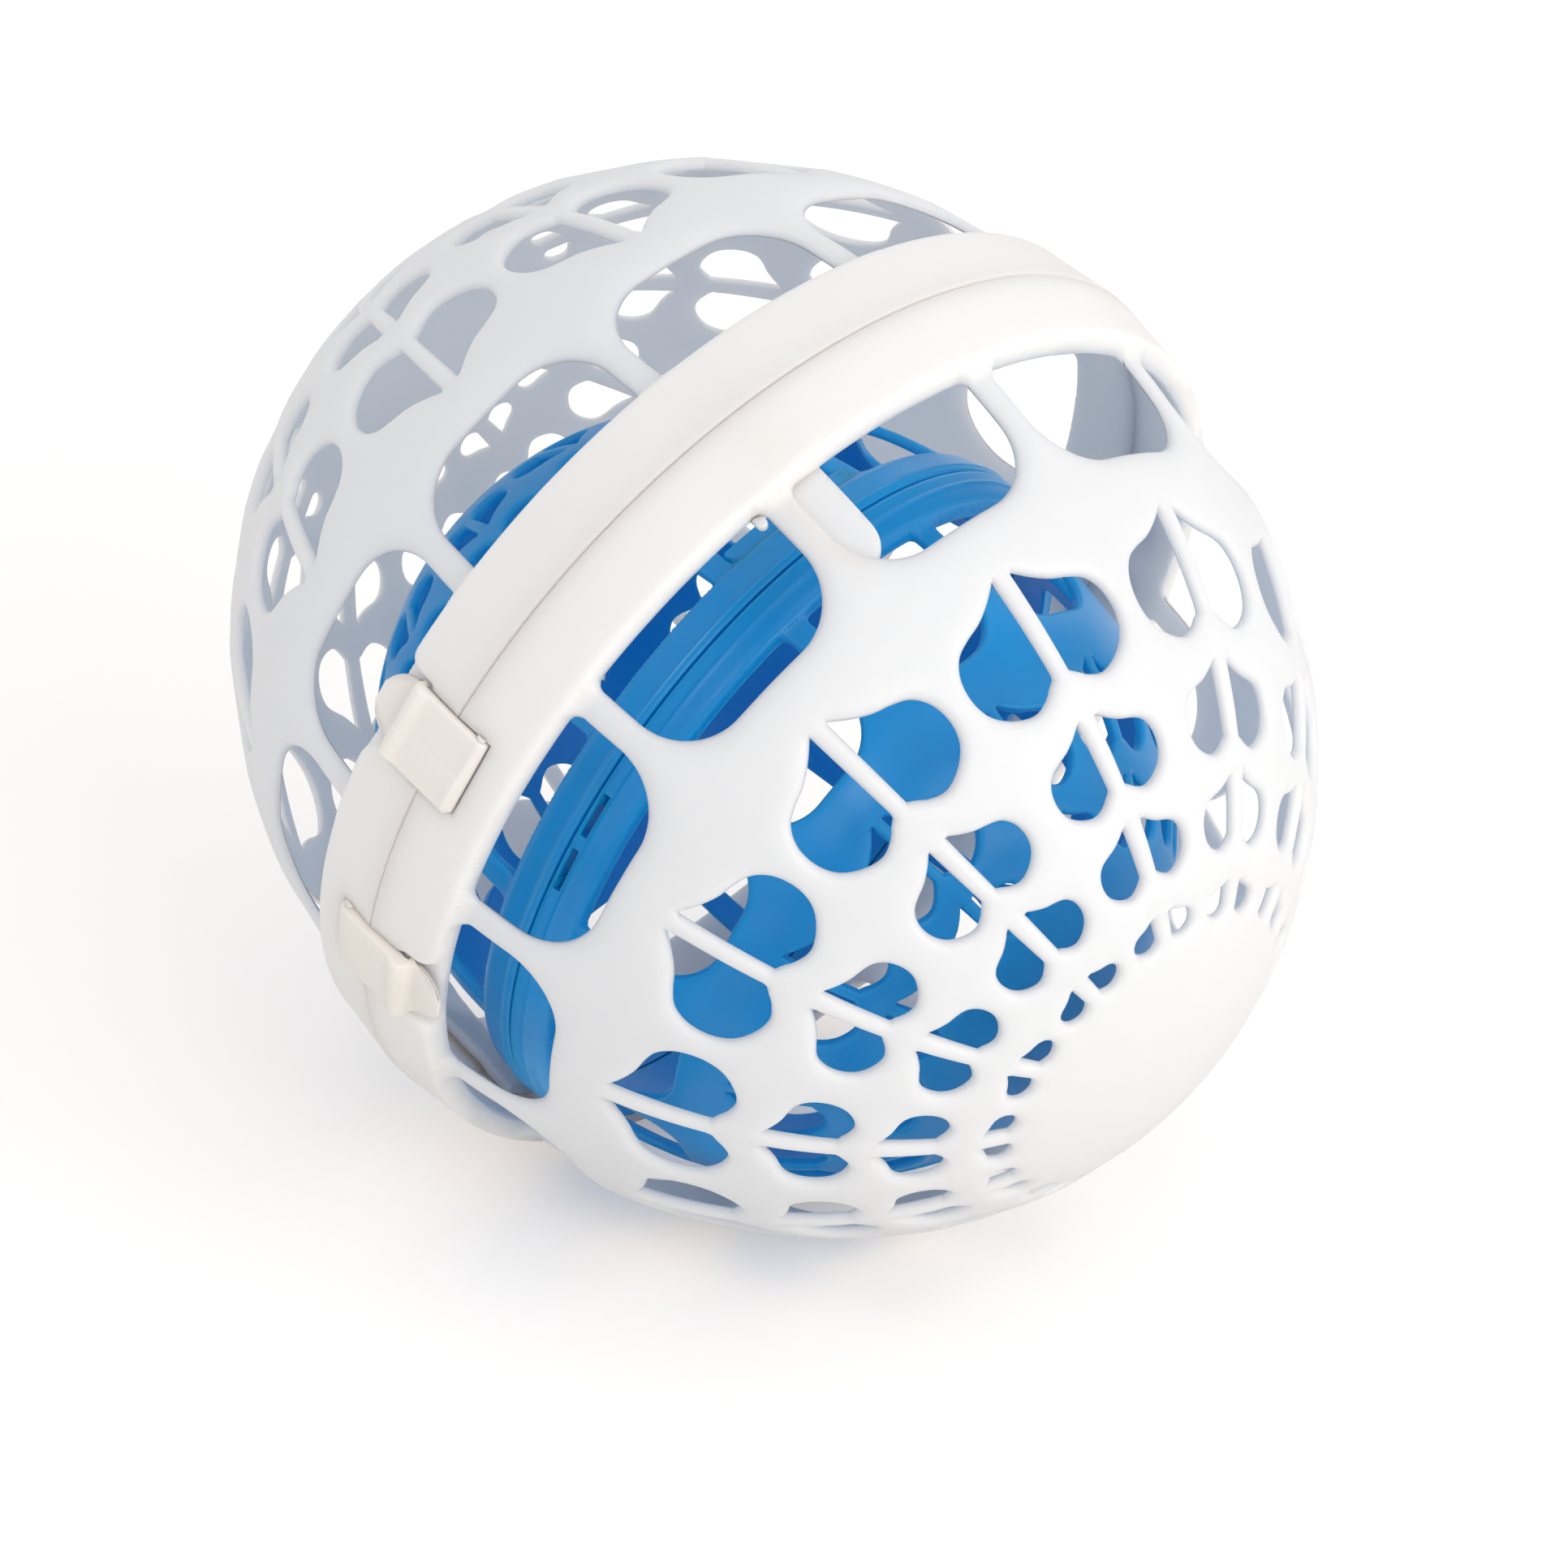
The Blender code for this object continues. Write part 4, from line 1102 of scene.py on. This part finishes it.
def makeFloor():
    mesh = bpy.data.meshes.new("paperFloor")
    half = floorLook["size"] / 2.0
    mesh.from_pydata([(-half, -half, 0.0), (half, -half, 0.0), (half, half, 0.0), (-half, half, 0.0)], [],
                     [(0, 1, 2, 3)])
    material = bpy.data.materials.new("whitePaper")
    material.use_nodes = True
    tree = material.node_tree
    tree.nodes.clear()
    rays = addNode(tree, "ShaderNodeLightPath", {}, {})
    paper = addNode(tree, "ShaderNodeBsdfDiffuse", {"Color": linear(floorLook["colour"])}, {})
    glow = addNode(tree, "ShaderNodeEmission", {"Strength": floorLook["lift"]}, {})
    both = addNode(tree, "ShaderNodeAddShader", {}, {0: paper.outputs[0], 1: glow.outputs[0]})
    shown = addNode(tree, "ShaderNodeMixShader", {}, {0: rays.outputs["Is Camera Ray"], 1: paper.outputs[0],
                                                      2: both.outputs[0]})
    addNode(tree, "ShaderNodeOutputMaterial", {}, {0: shown.outputs[0]})
    mesh.materials.append(material)
    floor = bpy.data.objects.new("paperFloor", mesh)
    bpy.context.scene.collection.objects.link(floor)
    return floor


makeFloor()


# Soft studio light: a bright even room, a large lamp on the camera's right and a weaker one beside it
studio = {
    "room": "#F8F8FA",
    "roomStrength": 0.83,
    "aim": (0.0, 0.0, 0.08),
    "lamps": [
        {"name": "keyLamp", "place": (0.5, -1.85, 0.75), "size": 1.2, "power": 12.0, "colour": "#FFFCF8"},
        {"name": "frontLamp", "place": (-0.6, -1.25, 0.85), "size": 0.5, "power": 3.4,
         "colour": "#FFFCF8"},
    ],
}


def lightStudio():
    world = bpy.data.worlds.new("studioRoom")
    bpy.context.scene.world = world
    world.use_nodes = True
    tree = world.node_tree
    tree.nodes.clear()
    rays = addNode(tree, "ShaderNodeLightPath", {}, {})
    room = addNode(tree, "ShaderNodeBackground", {"Color": linear(studio["room"]),
                                                  "Strength": studio["roomStrength"]}, {})
    white = addNode(tree, "ShaderNodeBackground", {"Color": linear("#FFFFFF"), "Strength": 1.0}, {})
    seen = rays.outputs["Is Camera Ray"]
    for name in ("Is Glossy Ray", "Is Transmission Ray"):
        either = addNode(tree, "ShaderNodeMath", {"operation": "MAXIMUM"}, {0: seen, 1: rays.outputs[name]})
        seen = either.outputs[0]
    shown = addNode(tree, "ShaderNodeMixShader", {}, {0: seen, 1: room.outputs[0], 2: white.outputs[0]})
    addNode(tree, "ShaderNodeOutputWorld", {}, {0: shown.outputs[0]})
    for look in studio["lamps"]:
        lamp = bpy.data.lights.new(look["name"], "AREA")
        lamp.size = look["size"]
        lamp.energy = look["power"]
        lamp.color = linear(look["colour"])[:3]
        obj = bpy.data.objects.new(look["name"], lamp)
        obj.location = look["place"]
        towards = Vector(studio["aim"]) - Vector(look["place"])
        obj.rotation_euler = towards.to_track_quat("-Z", "Y").to_euler()
        bpy.context.scene.collection.objects.link(obj)


lightStudio()

# Camera, where the ball's outlines in the photograph put it, in the ball's frame
camera = {
    "place": (-762.8, 742.0, 491.4),
    "look": (0.6483, -0.6413, -0.4104),
    "right": (0.6964, 0.2816, 0.6601),
    "lens": 165.8,
    "sensor": 36.0,
    "farthest": 30.0,           # metres
}


def placeCamera():
    data = bpy.data.cameras.new("photoCamera")
    data.lens = camera["lens"]
    data.sensor_width = camera["sensor"]
    data.clip_end = camera["farthest"]
    obj = bpy.data.objects.new("photoCamera", data)
    back = -Vector(camera["look"]).normalized()
    right = Vector(camera["right"])
    right = (right - back * right.dot(back)).normalized()
    axes = Matrix((right, back.cross(right), back)).transposed().to_4x4()
    world = ballFrame @ Matrix.Translation(camera["place"]) @ axes
    world.translation *= mm
    obj.matrix_world = world
    bpy.context.scene.collection.objects.link(obj)
    bpy.context.scene.camera = obj


placeCamera()
bpy.context.scene.view_settings.view_transform = "Standard"

print("scene ready")
